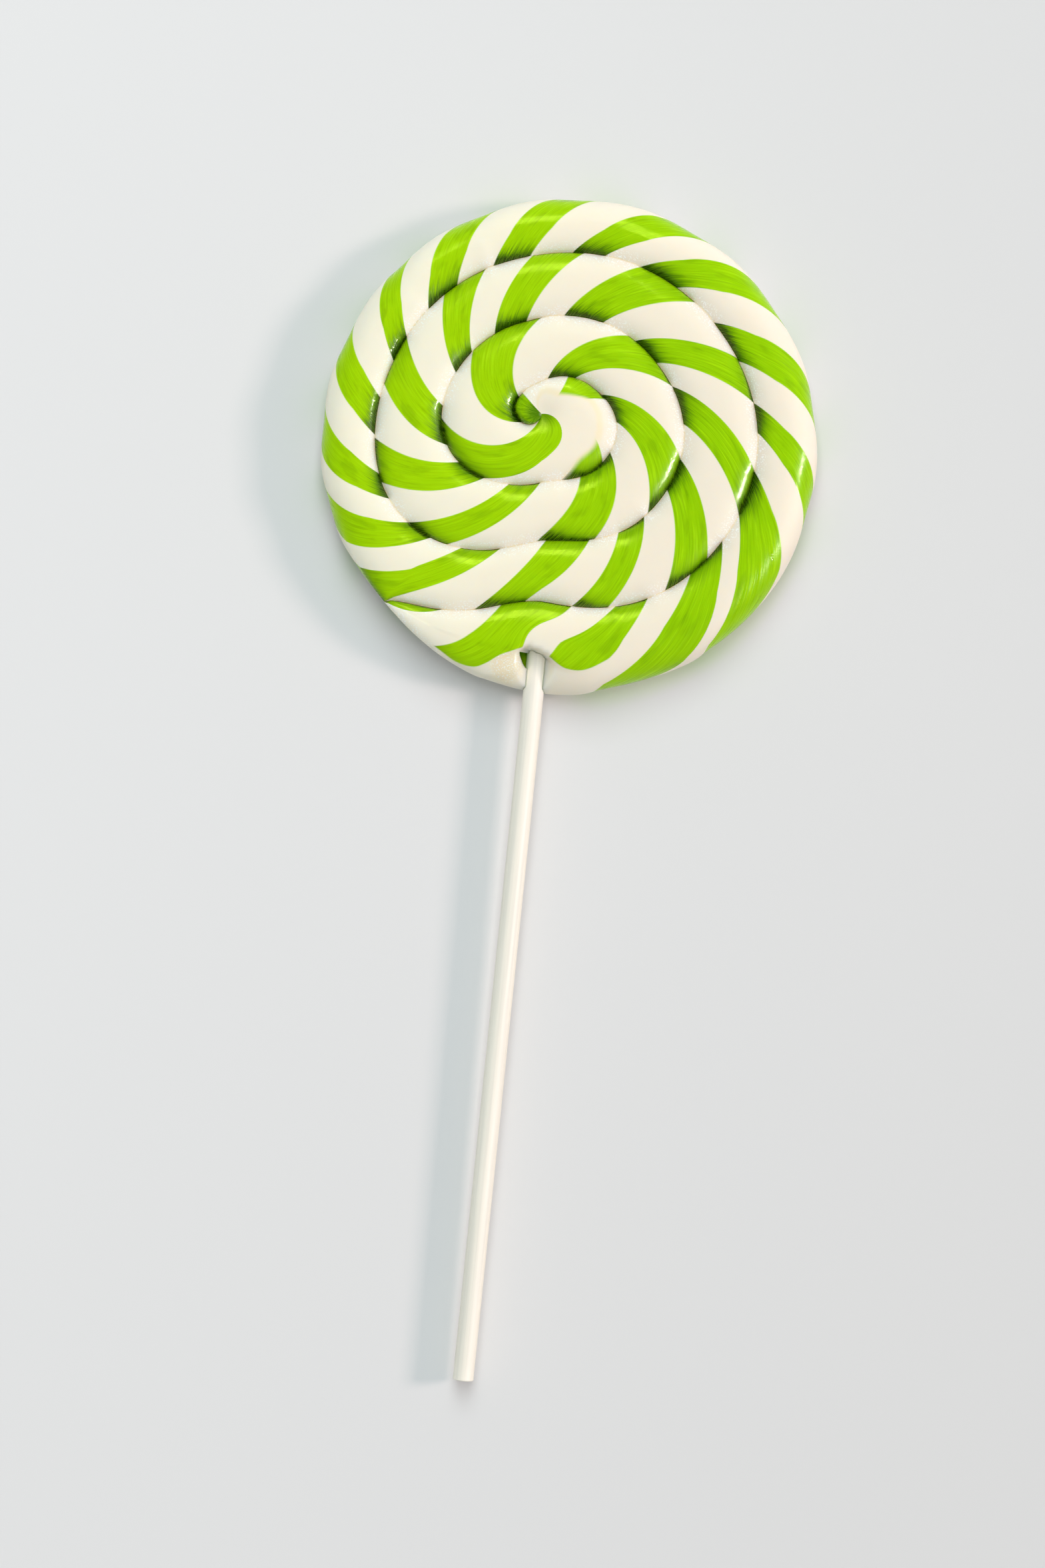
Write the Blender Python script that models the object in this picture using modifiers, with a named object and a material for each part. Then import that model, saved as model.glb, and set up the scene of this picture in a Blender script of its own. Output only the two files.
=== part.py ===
"""Swirl lollipop: a tapered rope of twisted candy coiled flat round a white stick.

Metres, +Z up. The lollipop lies on its back with the stick towards -Y. The
origin is the bottom centre of the box round the whole lollipop.
"""
import math

import bmesh
import bpy
from mathutils import Vector

# The disc and its thickness
DISC_RADIUS = 0.0477
THICKNESS = 0.0112
MID_HEIGHT = THICKNESS / 2.0

# The swirl starts away from the middle of the disc. Its angles run clockwise
# from a zero direction that leans a little to the left of +Y.
SWIRL_CENTRE = (-0.0059, 0.0054)
SWIRL_ZERO = math.radians(-5.85)
SWIRL_START = -180
SWIRL_END = 1300
OUTSIDE_START = SWIRL_END - 360
STEP = 4

# The rope: how wide it is between its grooves, and how the section is formed
ROPE_WIDTH = 0.0136
CROWN_DROP = 0.00165
CROWN_POWER = 3.2
CREASE_DEPTH = 0.0007
CREASE_POWER = 24
BACK_LAND = 0.5
BACK_DROP = 0.0007
BACK_CREASE = 0.0006
SIDE_POWER = 2.2
SIDE_TURN = math.radians(60)
CROWN_PLACE = 0.45

# The first turn, pinched to a point at the swirl's centre: angle and radius
FIRST_TURN = ((-180, 0.0), (-90, 0.0050), (-30, 0.0056), (0, 0.0063), (60, 0.0110),
              (100, 0.0147), (135, 0.0147), (165, 0.0131))

# Where the soft rope was squeezed or let swell: angle, spread, change of width.
# The widest bell makes the whole rope a little thinner halfway along.
SWELLS = ((250, 35, 0.0022), (491, 90, 0.0016), (540, 20, -0.0018), (590, 33, 0.0036),
          (570, 350, -0.0022), (823, 80, 0.0020), (906, 15, -0.0022), (967, 15, 0.0440))

# The outline is a little flat beside the stick and where the rope's tail ends: angle, spread, depth
DENTS = ((220, 18, 0.0013), (160, 12, 0.0006))

# Twist: the count of green stripes that have passed the crown, by angle. Each one slants by
# STRIPE_SKEW of the way to the next, from the rope's inner groove to its outer one.
TWIST = ((80, -1.0), (197, 0.0), (303, 1.0), (400, 2.0), (456, 3.0), (564, 5.0), (671, 8.0),
         (752, 10.0), (845, 13.0), (929, 16.0), (972, 18.0), (1050, 21.0), (1155, 25.0),
         (1219, 28.0), (1300, 31.2))
STRIPE_SKEW = 0.72
STRAND_RELIEF = 0.0002
FAN_START = 180
FAN_END = 300

# How far across the rope the rows of the mesh lie, from groove to groove
TOP_ROWS = (0.0, 0.05, 0.18, 0.39, 0.61, 0.82, 0.95, 1.0)
BACK_ROWS = (0.0, 0.25, 0.75, 1.0)
SIDE_ROWS = 4

# The centre dips a little where the rope's end was pinched, and the first groove starts shallow
PIVOT_DIP = 0.0009
PIVOT_SPREAD = 0.0030
PIVOT_SIZE = 0.0004
GROOVE_FADE = 70

# Over how many degrees the groove turns into the disc's round side, and back at the tail
OPENING_SPAN = 24
CLOSING_SPAN = 40

# Points closer than this are one point
MERGE_DISTANCE = 0.00001

# The stick
STICK_RADIUS = 0.0020
STICK_X = -0.0020
STICK_TIP_Y = -0.1810
STICK_INNER_Y = -0.0200
STICK_HEIGHT_AT_DISC = 0.0054
STICK_SLOPE = math.radians(0.55)
STICK_SIDES = 24
STICK_EDGE = 0.0002
STICK_CLEARANCE = 0.0003
HOLE_PAST_RIM = 0.0100

# The hollow pressed into the rim round the stick, and the wide slope on both sides of it
HOLLOW_SIZE = (0.0048, 0.0100, 0.0060)
HOLLOW_PLACE = (STICK_X, -0.0496, 0.0094)
SLOPE_SIZE = (0.0165, 0.0100, 0.0040)
SLOPE_PLACE = (-0.0030, -0.0500, 0.0115)
HOLLOW_SIDES = 20

CANDY_COLOUR = (0.30, 0.62, 0.01, 1.0)
CANDY_ROUGHNESS = 0.2
STICK_COLOUR = (0.90, 0.88, 0.82, 1.0)
STICK_ROUGHNESS = 0.6


def smooth_between(points, where):
    """Return the value at a place on a smooth curve through (place, value) points."""
    if where <= points[0][0]:
        return points[0][1]
    if where >= points[-1][0]:
        return points[-1][1]
    index = max(i for i, point in enumerate(points) if point[0] <= where)
    index = min(index, len(points) - 2)
    x0, y0 = points[index]
    x1, y1 = points[index + 1]
    before = points[max(index - 1, 0)]
    after = points[min(index + 2, len(points) - 1)]
    slope0 = (y1 - before[1]) / (x1 - before[0])
    slope1 = (after[1] - y0) / (after[0] - x0)
    span = x1 - x0
    t = (where - x0) / span
    return ((2 * t ** 3 - 3 * t ** 2 + 1) * y0 + (t ** 3 - 2 * t ** 2 + t) * span * slope0
            + (3 * t ** 2 - 2 * t ** 3) * y1 + (t ** 3 - t ** 2) * span * slope1)


def ease(value):
    """Return a smooth step from 0 to 1."""
    value = min(max(value, 0.0), 1.0)
    return value * value * (3.0 - 2.0 * value)


def swell(angle, centre, spread):
    """Return a bell curve that is 1 at its centre."""
    return math.exp(-((angle - centre) / spread) ** 2)


def outline_radius(angle):
    """Return the distance from the swirl's centre to the edge of the disc."""
    turn = math.radians(angle) + SWIRL_ZERO
    along = -(SWIRL_CENTRE[0] * math.sin(turn) + SWIRL_CENTRE[1] * math.cos(turn))
    off_centre = SWIRL_CENTRE[0] ** 2 + SWIRL_CENTRE[1] ** 2
    edge = along + math.sqrt(along ** 2 - off_centre + DISC_RADIUS ** 2)
    return edge - sum(depth * swell(angle % 360, centre, spread) for centre, spread, depth in DENTS)


def rope_width(angle):
    """Return how wide the rope lies at an angle of the swirl."""
    return ROPE_WIDTH + sum(change * swell(angle, centre, spread) for centre, spread, change in SWELLS)


def groove_radius(angle):
    """Return the distance from the swirl's centre to the outer edge of the rope."""
    if angle >= OUTSIDE_START:
        return outline_radius(angle)
    first_end = SWIRL_START + 360
    if angle < first_end:
        return smooth_between(FIRST_TURN + ((first_end, rope_width(first_end)),), angle)
    return min(groove_radius(angle - 360) + rope_width(angle), outline_radius(angle))


def inner_radius(angle):
    """Return the distance from the swirl's centre to the inner edge of the rope."""
    return groove_radius(angle - 360) if angle - 360 >= SWIRL_START else 0.0


def groove_depth(angle):
    """Return how much of its full depth the groove on the rope's outer edge has."""
    return ease((angle - SWIRL_START) / GROOVE_FADE)


def tail_fullness(angle):
    """Return 1 along the rope, falling to 0 where its tail runs out."""
    width = outline_radius(angle) - inner_radius(angle)
    return math.sqrt(min(max(width / ROPE_WIDTH, 0.0), 1.0)) if angle > OUTSIDE_START else 1.0


def openness(angle):
    """Return 0 where the rope's outer edge is a groove and 1 where it is the disc's round side."""
    if angle <= OUTSIDE_START:
        return 0.0
    return min(ease((angle - OUTSIDE_START) / OPENING_SPAN), ease((SWIRL_END - angle) / CLOSING_SPAN))


def strand_relief(angle, across):
    """Return how far the twisted strands stand up or dip at a place on the rope."""
    skew = STRIPE_SKEW * (across - 0.5)
    stripes = smooth_between(TWIST, angle) - skew
    fade = ease((angle - FAN_START) / (FAN_END - FAN_START)) * math.sin(math.pi * across)
    return -STRAND_RELIEF * fade * math.cos(2.0 * math.pi * stripes)


def place(angle, radius, height):
    """Return the point at a swirl angle, radius and height, measured from the disc's middle.

    All that lies closer to the swirl's centre than PIVOT_SIZE is drawn in to one point.
    """
    turn = math.radians(angle) + SWIRL_ZERO
    if radius < PIVOT_SIZE:
        radius = 0.0
        height = THICKNESS - PIVOT_DIP if height > MID_HEIGHT else 0.0
    return Vector((SWIRL_CENTRE[0] + radius * math.sin(turn),
                   SWIRL_CENTRE[1] + radius * math.cos(turn), height))


def crown_profile(angle, across, radius):
    """Return the height of the upper side at a place across the rope between two grooves."""
    off = 2.0 * across - 1.0
    share = groove_depth(angle - 360) if off < 0.0 else groove_depth(angle)
    drop = (CROWN_DROP * abs(off) ** CROWN_POWER + CREASE_DEPTH * abs(off) ** CREASE_POWER) * share
    drop += PIVOT_DIP * swell(radius, 0.0, PIVOT_SPREAD)
    return THICKNESS - drop + strand_relief(angle, across)


def back_profile(angle, across):
    """Return the height of the flattened back at a place across the rope."""
    off = abs(2.0 * across - 1.0)
    rise = max(off - BACK_LAND, 0.0) / (1.0 - BACK_LAND)
    share = groove_depth(angle - 360) if across < 0.5 else groove_depth(angle)
    return (BACK_DROP + BACK_CREASE) * rise * share


def section(angle):
    """Return the upper, side and back points of the rope's section at one angle."""
    inner = inner_radius(angle)
    outer = groove_radius(angle)
    opened = openness(angle)
    full = tail_fullness(angle)
    groove_top = THICKNESS - CROWN_DROP - CREASE_DEPTH
    groove_back = BACK_DROP + BACK_CREASE
    crown_at = inner + (outer - inner) * CROWN_PLACE
    reach = outer - crown_at

    def side_point(turn):
        """Return radius and height on the disc's round side, turned down from the crown."""
        across = reach * math.sin(turn) ** (2.0 / SIDE_POWER)
        up = math.cos(turn)
        height = MID_HEIGHT + MID_HEIGHT * math.copysign(abs(up) ** (2.0 / SIDE_POWER), up)
        return crown_at + across, height

    def blended(grooved, rounded, edge_height):
        """Return a point between the grooved form and the round one, thinned in the tail."""
        radius = grooved[0] + (rounded[0] - grooved[0]) * opened
        height = grooved[1] + (rounded[1] - grooved[1]) * opened
        return radius, edge_height + (height - edge_height) * full

    top = []
    for across in TOP_ROWS:
        radius = inner + (outer - inner) * across
        grooved = (radius, crown_profile(angle, across, radius))
        rounded = grooved
        if across > CROWN_PLACE:
            turn = SIDE_TURN * (across - CROWN_PLACE) / (1.0 - CROWN_PLACE)
            rounded = side_point(turn)
            rounded = (rounded[0], rounded[1] + strand_relief(angle, across))
        top.append(blended(grooved, rounded, groove_top))
    back = []
    for across in BACK_ROWS:
        grooved = (inner + (outer - inner) * across, back_profile(angle, across))
        rounded = grooved
        if across > CROWN_PLACE:
            turn = math.pi - SIDE_TURN * (across - CROWN_PLACE) / (1.0 - CROWN_PLACE)
            rounded = side_point(turn)
            rounded = (rounded[0], rounded[1] if across == 1.0 else grooved[1])
        back.append(blended(grooved, rounded, groove_back))
    side = []
    for row in range(1, SIDE_ROWS):
        share = row / SIDE_ROWS
        rounded = side_point(SIDE_TURN + (math.pi - 2.0 * SIDE_TURN) * share)
        edge_height = groove_top + (groove_back - groove_top) * share
        side.append(blended((outer, edge_height), rounded, edge_height))
    return top, side, back


def make_coil(collection):
    """Make the coiled rope as one closed skin of stations along its length."""
    mesh = bmesh.new()
    rows = []
    for angle in range(SWIRL_START, SWIRL_END + 1, STEP):
        top, side, back = section(angle)
        rows.append((
            [mesh.verts.new(place(angle, *point)) for point in top],
            [mesh.verts.new(place(angle, *point)) for point in back],
            [mesh.verts.new(place(angle, *point)) for point in side] if angle >= OUTSIDE_START else [],
        ))
    for first, second in zip(rows, rows[1:]):
        for k in range(len(TOP_ROWS) - 1):
            skin = (first[0][k], first[0][k + 1], second[0][k + 1], second[0][k])
            mesh.faces.new((skin[0], skin[1], skin[2]))
            mesh.faces.new((skin[0], skin[2], skin[3]))
        for k in range(len(BACK_ROWS) - 1):
            skin = (first[1][k], second[1][k], second[1][k + 1], first[1][k + 1])
            mesh.faces.new((skin[0], skin[1], skin[2]))
            mesh.faces.new((skin[0], skin[2], skin[3]))
        if first[2]:
            down_first = [first[0][-1]] + first[2] + [first[1][-1]]
            down_second = [second[0][-1]] + second[2] + [second[1][-1]]
            for k in range(SIDE_ROWS):
                skin = (down_first[k], down_first[k + 1], down_second[k + 1], down_second[k])
                mesh.faces.new((skin[0], skin[1], skin[2]))
                mesh.faces.new((skin[0], skin[2], skin[3]))
    bmesh.ops.remove_doubles(mesh, verts=mesh.verts, dist=MERGE_DISTANCE)
    bmesh.ops.dissolve_degenerate(mesh, edges=mesh.edges, dist=MERGE_DISTANCE)
    bmesh.ops.recalc_face_normals(mesh, faces=mesh.faces)
    data = bpy.data.meshes.new("candy")
    mesh.to_mesh(data)
    mesh.free()
    candy = bpy.data.objects.new("candy", data)
    collection.objects.link(candy)
    return candy


def move_to(item, collection):
    """Leave an object in one collection only."""
    for holder in list(item.users_collection):
        holder.objects.unlink(item)
    collection.objects.link(item)


def stick_height(y):
    """Return the height of the stick's axis at a place along it."""
    edge = -DISC_RADIUS
    return STICK_HEIGHT_AT_DISC + (y - edge) * math.tan(STICK_SLOPE)


def make_rod(name, radius, y_from, y_to, collection):
    """Make a round rod along the stick's axis."""
    low = Vector((STICK_X, y_from, stick_height(y_from)))
    high = Vector((STICK_X, y_to, stick_height(y_to)))
    bpy.ops.mesh.primitive_cylinder_add(vertices=STICK_SIDES, radius=radius, depth=(high - low).length)
    rod = bpy.context.object
    rod.name = name
    rod.data.name = name
    rod.rotation_mode = "QUATERNION"
    rod.rotation_quaternion = (high - low).to_track_quat("Z", "X")
    rod.location = (low + high) / 2.0
    move_to(rod, collection)
    return rod


def make_hollow(name, size, place_at, collection):
    """Make a rounded cutter for the rim, with its three half sizes and its middle."""
    bpy.ops.mesh.primitive_uv_sphere_add(segments=HOLLOW_SIDES, ring_count=HOLLOW_SIDES // 2,
                                         radius=1.0)
    hollow = bpy.context.object
    hollow.name = name
    hollow.location = place_at
    hollow.scale = size
    move_to(hollow, collection)
    return hollow


def cut(item, cutter):
    """Cut one object by another, which is kept as a hidden guide."""
    cutter.hide_render = True
    cutter.display_type = "WIRE"
    modifier = item.modifiers.new("cut_" + cutter.name, "BOOLEAN")
    modifier.operation = "DIFFERENCE"
    modifier.solver = "EXACT"
    modifier.object = cutter


def finish(name, colour, roughness):
    """Return a plain material."""
    material = bpy.data.materials.new(name)
    material.use_nodes = True
    shader = material.node_tree.nodes["Principled BSDF"]
    shader.inputs["Base Color"].default_value = colour
    shader.inputs["Roughness"].default_value = roughness
    shader.inputs["Metallic"].default_value = 0.0
    return material


def main():
    """Build the lollipop."""
    for item in list(bpy.data.objects):
        bpy.data.objects.remove(item)
    parts = bpy.data.collections.new("lollipop")
    cutters = bpy.data.collections.new("cutters")
    bpy.context.scene.collection.children.link(parts)
    bpy.context.scene.collection.children.link(cutters)

    candy = make_coil(parts)
    candy.data.materials.append(finish("candy", CANDY_COLOUR, CANDY_ROUGHNESS))
    stick = make_rod("stick", STICK_RADIUS, STICK_TIP_Y, STICK_INNER_Y, parts)
    stick.data.materials.append(finish("stick", STICK_COLOUR, STICK_ROUGHNESS))
    edge = stick.modifiers.new("end_edges", "BEVEL")
    edge.width = STICK_EDGE
    edge.segments = 1
    edge.limit_method = "ANGLE"

    hole_radius = STICK_RADIUS + STICK_CLEARANCE
    inner_end = STICK_INNER_Y + STICK_CLEARANCE
    hole = make_rod("stick_hole", hole_radius, -DISC_RADIUS - HOLE_PAST_RIM, inner_end, cutters)
    cut(candy, hole)
    cut(candy, make_hollow("rim_hollow", HOLLOW_SIZE, HOLLOW_PLACE, cutters))
    cut(candy, make_hollow("rim_slope", SLOPE_SIZE, SLOPE_PLACE, cutters))

    base = bpy.data.objects.new("lollipop", None)
    parts.objects.link(base)
    for item in (candy, stick, *cutters.objects):
        item.parent = base
    whole_length = DISC_RADIUS - STICK_TIP_Y
    base.location = (0.0, whole_length / 2.0 - DISC_RADIUS, 0.0)
    for item in (candy, stick):
        item.data.shade_smooth()


main()
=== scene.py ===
"""Swirl lollipop, lying on a pale surface: a twisted green and white rope coiled round a paper stick.

The frame is the row's own: metres, +Z up out of the shown face, the stick towards -Y.
"""

import logging
import math
from collections.abc import Callable
from dataclasses import dataclass, field
from enum import Enum

import bpy
import numpy as np
from mathutils import Matrix, Vector


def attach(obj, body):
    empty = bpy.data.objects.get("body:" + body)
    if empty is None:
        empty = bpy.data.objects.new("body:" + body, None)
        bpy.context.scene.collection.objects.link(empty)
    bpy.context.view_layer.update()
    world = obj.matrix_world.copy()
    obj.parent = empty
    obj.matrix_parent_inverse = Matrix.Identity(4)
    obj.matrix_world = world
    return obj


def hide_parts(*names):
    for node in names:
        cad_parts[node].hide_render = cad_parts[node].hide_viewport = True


log = logging.getLogger("lollipop")

Tree = bpy.types.NodeTree
Thing = bpy.types.Object
Pair = tuple[float, float]
Colour = tuple[float, ...]

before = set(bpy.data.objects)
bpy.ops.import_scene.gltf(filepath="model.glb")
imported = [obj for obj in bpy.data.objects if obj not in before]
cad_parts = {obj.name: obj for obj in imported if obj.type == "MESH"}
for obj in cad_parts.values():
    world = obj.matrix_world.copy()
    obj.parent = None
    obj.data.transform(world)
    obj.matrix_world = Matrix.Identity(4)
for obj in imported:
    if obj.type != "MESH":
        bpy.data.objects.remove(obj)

MM = 0.001
ROOT_BODY = "root"
DISC_RADIUS = 0.0477
DISC_MIDDLE = Vector((0.0, 0.06665, 0.0))
PICTURE_LEAN = math.radians(5.85)
PICTURE_UP = 90.0 + math.degrees(PICTURE_LEAN)

# The fraction of the strand count at the middle of a green strand.
GREEN_MIDDLE = 0.25
# A margin that keeps the rows on a flank's edge inside that flank.
SLIVER = 0.0001
# The least rise from one value of a rising curve to the next.
LEAST_STEP = 1e-6


class Flank(Enum):
    """The parts of the rope's skin, by where each starts in the count across the skin."""

    TOP = 0.0
    SIDE = 1.0
    BACK = 2.0


class Gives(Enum):
    """What a lamp gives the candy: light without its reflection, or its reflection alone."""

    LIGHT = "light"
    GLINTS = "glints"


class Wire:
    """One value in a node tree. Arithmetic on it adds Math nodes to the tree."""

    def __init__(self, tree: Tree, socket: bpy.types.NodeSocket) -> None:
        """Hold a socket of a tree.

        Args:
            tree: The node tree.
            socket: The output socket that gives the value.
        """
        self.tree = tree
        self.socket = socket

    def math(self, operation: str, *others: "Wire | float") -> "Wire":
        """Put this value through a Math node.

        Args:
            operation: The node's operation.
            others: The node's further inputs, in order.

        Returns:
            The node's result.
        """
        node = self.tree.nodes.new("ShaderNodeMath")
        node.operation = operation
        for slot, value in zip(node.inputs, (self, *others)):
            feed(self.tree, slot, value)
        return Wire(self.tree, node.outputs[0])

    def __add__(self, other: "Wire | float") -> "Wire":
        """Return the sum."""
        return self.math("ADD", other)

    def __radd__(self, other: float) -> "Wire":
        """Return the sum."""
        return self.math("ADD", other)

    def __sub__(self, other: "Wire | float") -> "Wire":
        """Return the difference."""
        return self.math("SUBTRACT", other)

    def __rsub__(self, other: float) -> "Wire":
        """Return a number less this value."""
        return self.math("MULTIPLY", -1.0).math("ADD", other)

    def __mul__(self, other: "Wire | float") -> "Wire":
        """Return the product."""
        return self.math("MULTIPLY", other)

    def __rmul__(self, other: float) -> "Wire":
        """Return the product."""
        return self.math("MULTIPLY", other)

    def __truediv__(self, other: "Wire | float") -> "Wire":
        """Return the quotient."""
        return self.math("DIVIDE", other)

    def __rtruediv__(self, other: float) -> "Wire":
        """Return a number divided by this value."""
        return self.math("POWER", -1.0).math("MULTIPLY", other)

    def __pow__(self, other: "Wire | float") -> "Wire":
        """Return the power."""
        return self.math("POWER", other)

    def ramp(self, low: float, high: float, smooth: bool = True) -> "Wire":
        """Return 0 below the low value and 1 above the high one.

        Args:
            low: The value that gives 0. It may be the larger one, for a falling ramp.
            high: The value that gives 1.
            smooth: Whether the ramp eases in and out.

        Returns:
            The ramp between them.
        """
        node = self.tree.nodes.new("ShaderNodeMapRange")
        node.interpolation_type = "SMOOTHSTEP" if smooth else "LINEAR"
        rising = high > low
        feed(self.tree, node.inputs["Value"], self)
        node.inputs["From Min"].default_value = low if rising else high
        node.inputs["From Max"].default_value = high if rising else low
        node.inputs["To Min"].default_value = 0.0 if rising else 1.0
        node.inputs["To Max"].default_value = 1.0 if rising else 0.0
        return Wire(self.tree, node.outputs["Result"])

    def toward(self, other: "Wire | float", share: "Wire | float") -> "Wire":
        """Return a value part of the way from this one to another."""
        return self + (other - self) * share

    def hypot(self, other: "Wire") -> "Wire":
        """Return the distance that this value and another make at right angles."""
        return (self * self + other * other).math("SQRT")

    def parts(self) -> "tuple[Wire, ...]":
        """Return the X, Y and Z of a vector."""
        node = add_node(self.tree, "ShaderNodeSeparateXYZ", {}, {0: self})
        return tuple(Wire(self.tree, socket) for socket in node.outputs)


def feed(tree: Tree, slot: bpy.types.NodeSocket, value: "Wire | float | tuple") -> None:
    """Give an input socket a wire or a fixed value.

    Args:
        tree: The node tree.
        slot: The input socket.
        value: A wire to link, or a fixed value to set.
    """
    if isinstance(value, Wire):
        tree.links.new(value.socket, slot)
    else:
        slot.default_value = value


def add_node(tree: Tree, kind: str, settings: dict | None = None,
             inputs: dict | None = None) -> bpy.types.Node:
    """Add a node with its settings and inputs.

    Args:
        tree: The node tree.
        kind: The node's type name.
        settings: Properties of the node, by name.
        inputs: Wires or fixed values, by socket name or number.

    Returns:
        The new node.
    """
    node = tree.nodes.new(kind)
    for name, value in (settings or {}).items():
        setattr(node, name, value)
    for name, value in (inputs or {}).items():
        feed(tree, node.inputs[name], value)
    return node


def noise(tree: Tree, place: Wire, scale: float, detail: float) -> Wire:
    """Add smooth noise.

    Args:
        tree: The material's node tree.
        place: The place that it is read at.
        scale: How fine it is.
        detail: How many finer layers it has.

    Returns:
        The noise, about 0.5 in the mean.
    """
    node = add_node(tree, "ShaderNodeTexNoise", {}, {"Vector": place, "Scale": scale, "Detail": detail})
    return Wire(tree, node.outputs["Fac"])


def mix(tree: Tree, share: Wire, first: "Wire | tuple", second: "Wire | tuple") -> Wire:
    """Mix two colours.

    Args:
        tree: The material's node tree.
        share: 0 for the first colour, 1 for the second.
        first: A colour.
        second: Another colour.

    Returns:
        The colour between them.
    """
    node = add_node(tree, "ShaderNodeMix", {"data_type": "RGBA"}, {0: share, 6: first, 7: second})
    return Wire(tree, node.outputs[2])


def relief(tree: Tree, strength: float, depth: float, height: Wire) -> Wire:
    """Turn a height into a fine relief.

    Args:
        tree: The material's node tree.
        strength: How strongly it shows, from 0 to 1.
        depth: The depth that a height of 1 stands for, in metres.
        height: The height.

    Returns:
        The normal.
    """
    bump = add_node(tree, "ShaderNodeBump", {}, {"Strength": strength, "Distance": depth, "Height": height})
    return Wire(tree, bump.outputs["Normal"])


def object_place(tree: Tree) -> Wire:
    """Return the place on the piece itself."""
    return Wire(tree, add_node(tree, "ShaderNodeTexCoord").outputs["Object"])


def new_material(name: str) -> tuple[bpy.types.Material, Tree, bpy.types.Node]:
    """Make a material.

    Args:
        name: Its name.

    Returns:
        The material, its node tree and its shader.
    """
    material = bpy.data.materials.new(name)
    material.use_nodes = True
    return material, material.node_tree, material.node_tree.nodes["Principled BSDF"]


def dress(tree: Tree, shader: bpy.types.Node, inputs: dict) -> None:
    """Give a shader its wires and fixed values, by socket name."""
    for name, value in inputs.items():
        feed(tree, shader.inputs[name], value)


def new_object(name: str, points: list, faces: list) -> Thing:
    """Make a mesh object in the scene.

    Args:
        name: The name of the object and of its mesh.
        points: The mesh's points.
        faces: The point numbers of each face.

    Returns:
        The object, at the origin.
    """
    mesh = bpy.data.meshes.new(name)
    mesh.from_pydata(points, [], faces)
    made = bpy.data.objects.new(name, mesh)
    bpy.context.scene.collection.objects.link(made)
    return made


def ease(value: float) -> float:
    """Return a smooth step from 0 to 1."""
    value = min(max(value, 0.0), 1.0)
    return value * value * (3.0 - 2.0 * value)


def bell(angle: float, centre: float, spread: float) -> float:
    """Return a bell curve that is 1 at its centre."""
    return math.exp(-((angle - centre) / spread) ** 2)


def cubic(t: "float | np.ndarray", start: float, start_rise: float, end: float, end_rise: float) -> float:
    """Return a value on a smooth step between two values.

    Args:
        t: The share of the step that is done.
        start: The value at its start.
        start_rise: The slope at its start, for the whole step.
        end: The value at its end.
        end_rise: The slope at its end, for the whole step.

    Returns:
        The value, or an array of them where the others are arrays.
    """
    return ((2 * t ** 3 - 3 * t ** 2 + 1) * start + (t ** 3 - 2 * t ** 2 + t) * start_rise
            + (3 * t ** 2 - 2 * t ** 3) * end + (t ** 3 - t ** 2) * end_rise)


def curve_through(points: tuple[tuple[float, float], ...], where: float) -> float:
    """Return the value at a place on a smooth curve.

    Args:
        points: Places and values that the curve passes through.
        where: The place to read.

    Returns:
        The value there, held level past both ends.
    """
    if where <= points[0][0]:
        return points[0][1]
    if where >= points[-1][0]:
        return points[-1][1]
    index = max(i for i, point in enumerate(points) if point[0] <= where)
    (x0, y0), (x1, y1) = points[index], points[index + 1]
    before, after = points[max(index - 1, 0)], points[min(index + 2, len(points) - 1)]
    slope0 = (y1 - before[1]) / (x1 - before[0])
    slope1 = (after[1] - y0) / (after[0] - x0)
    span = x1 - x0
    return cubic((where - x0) / span, y0, span * slope0, y1, span * slope1)


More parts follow.
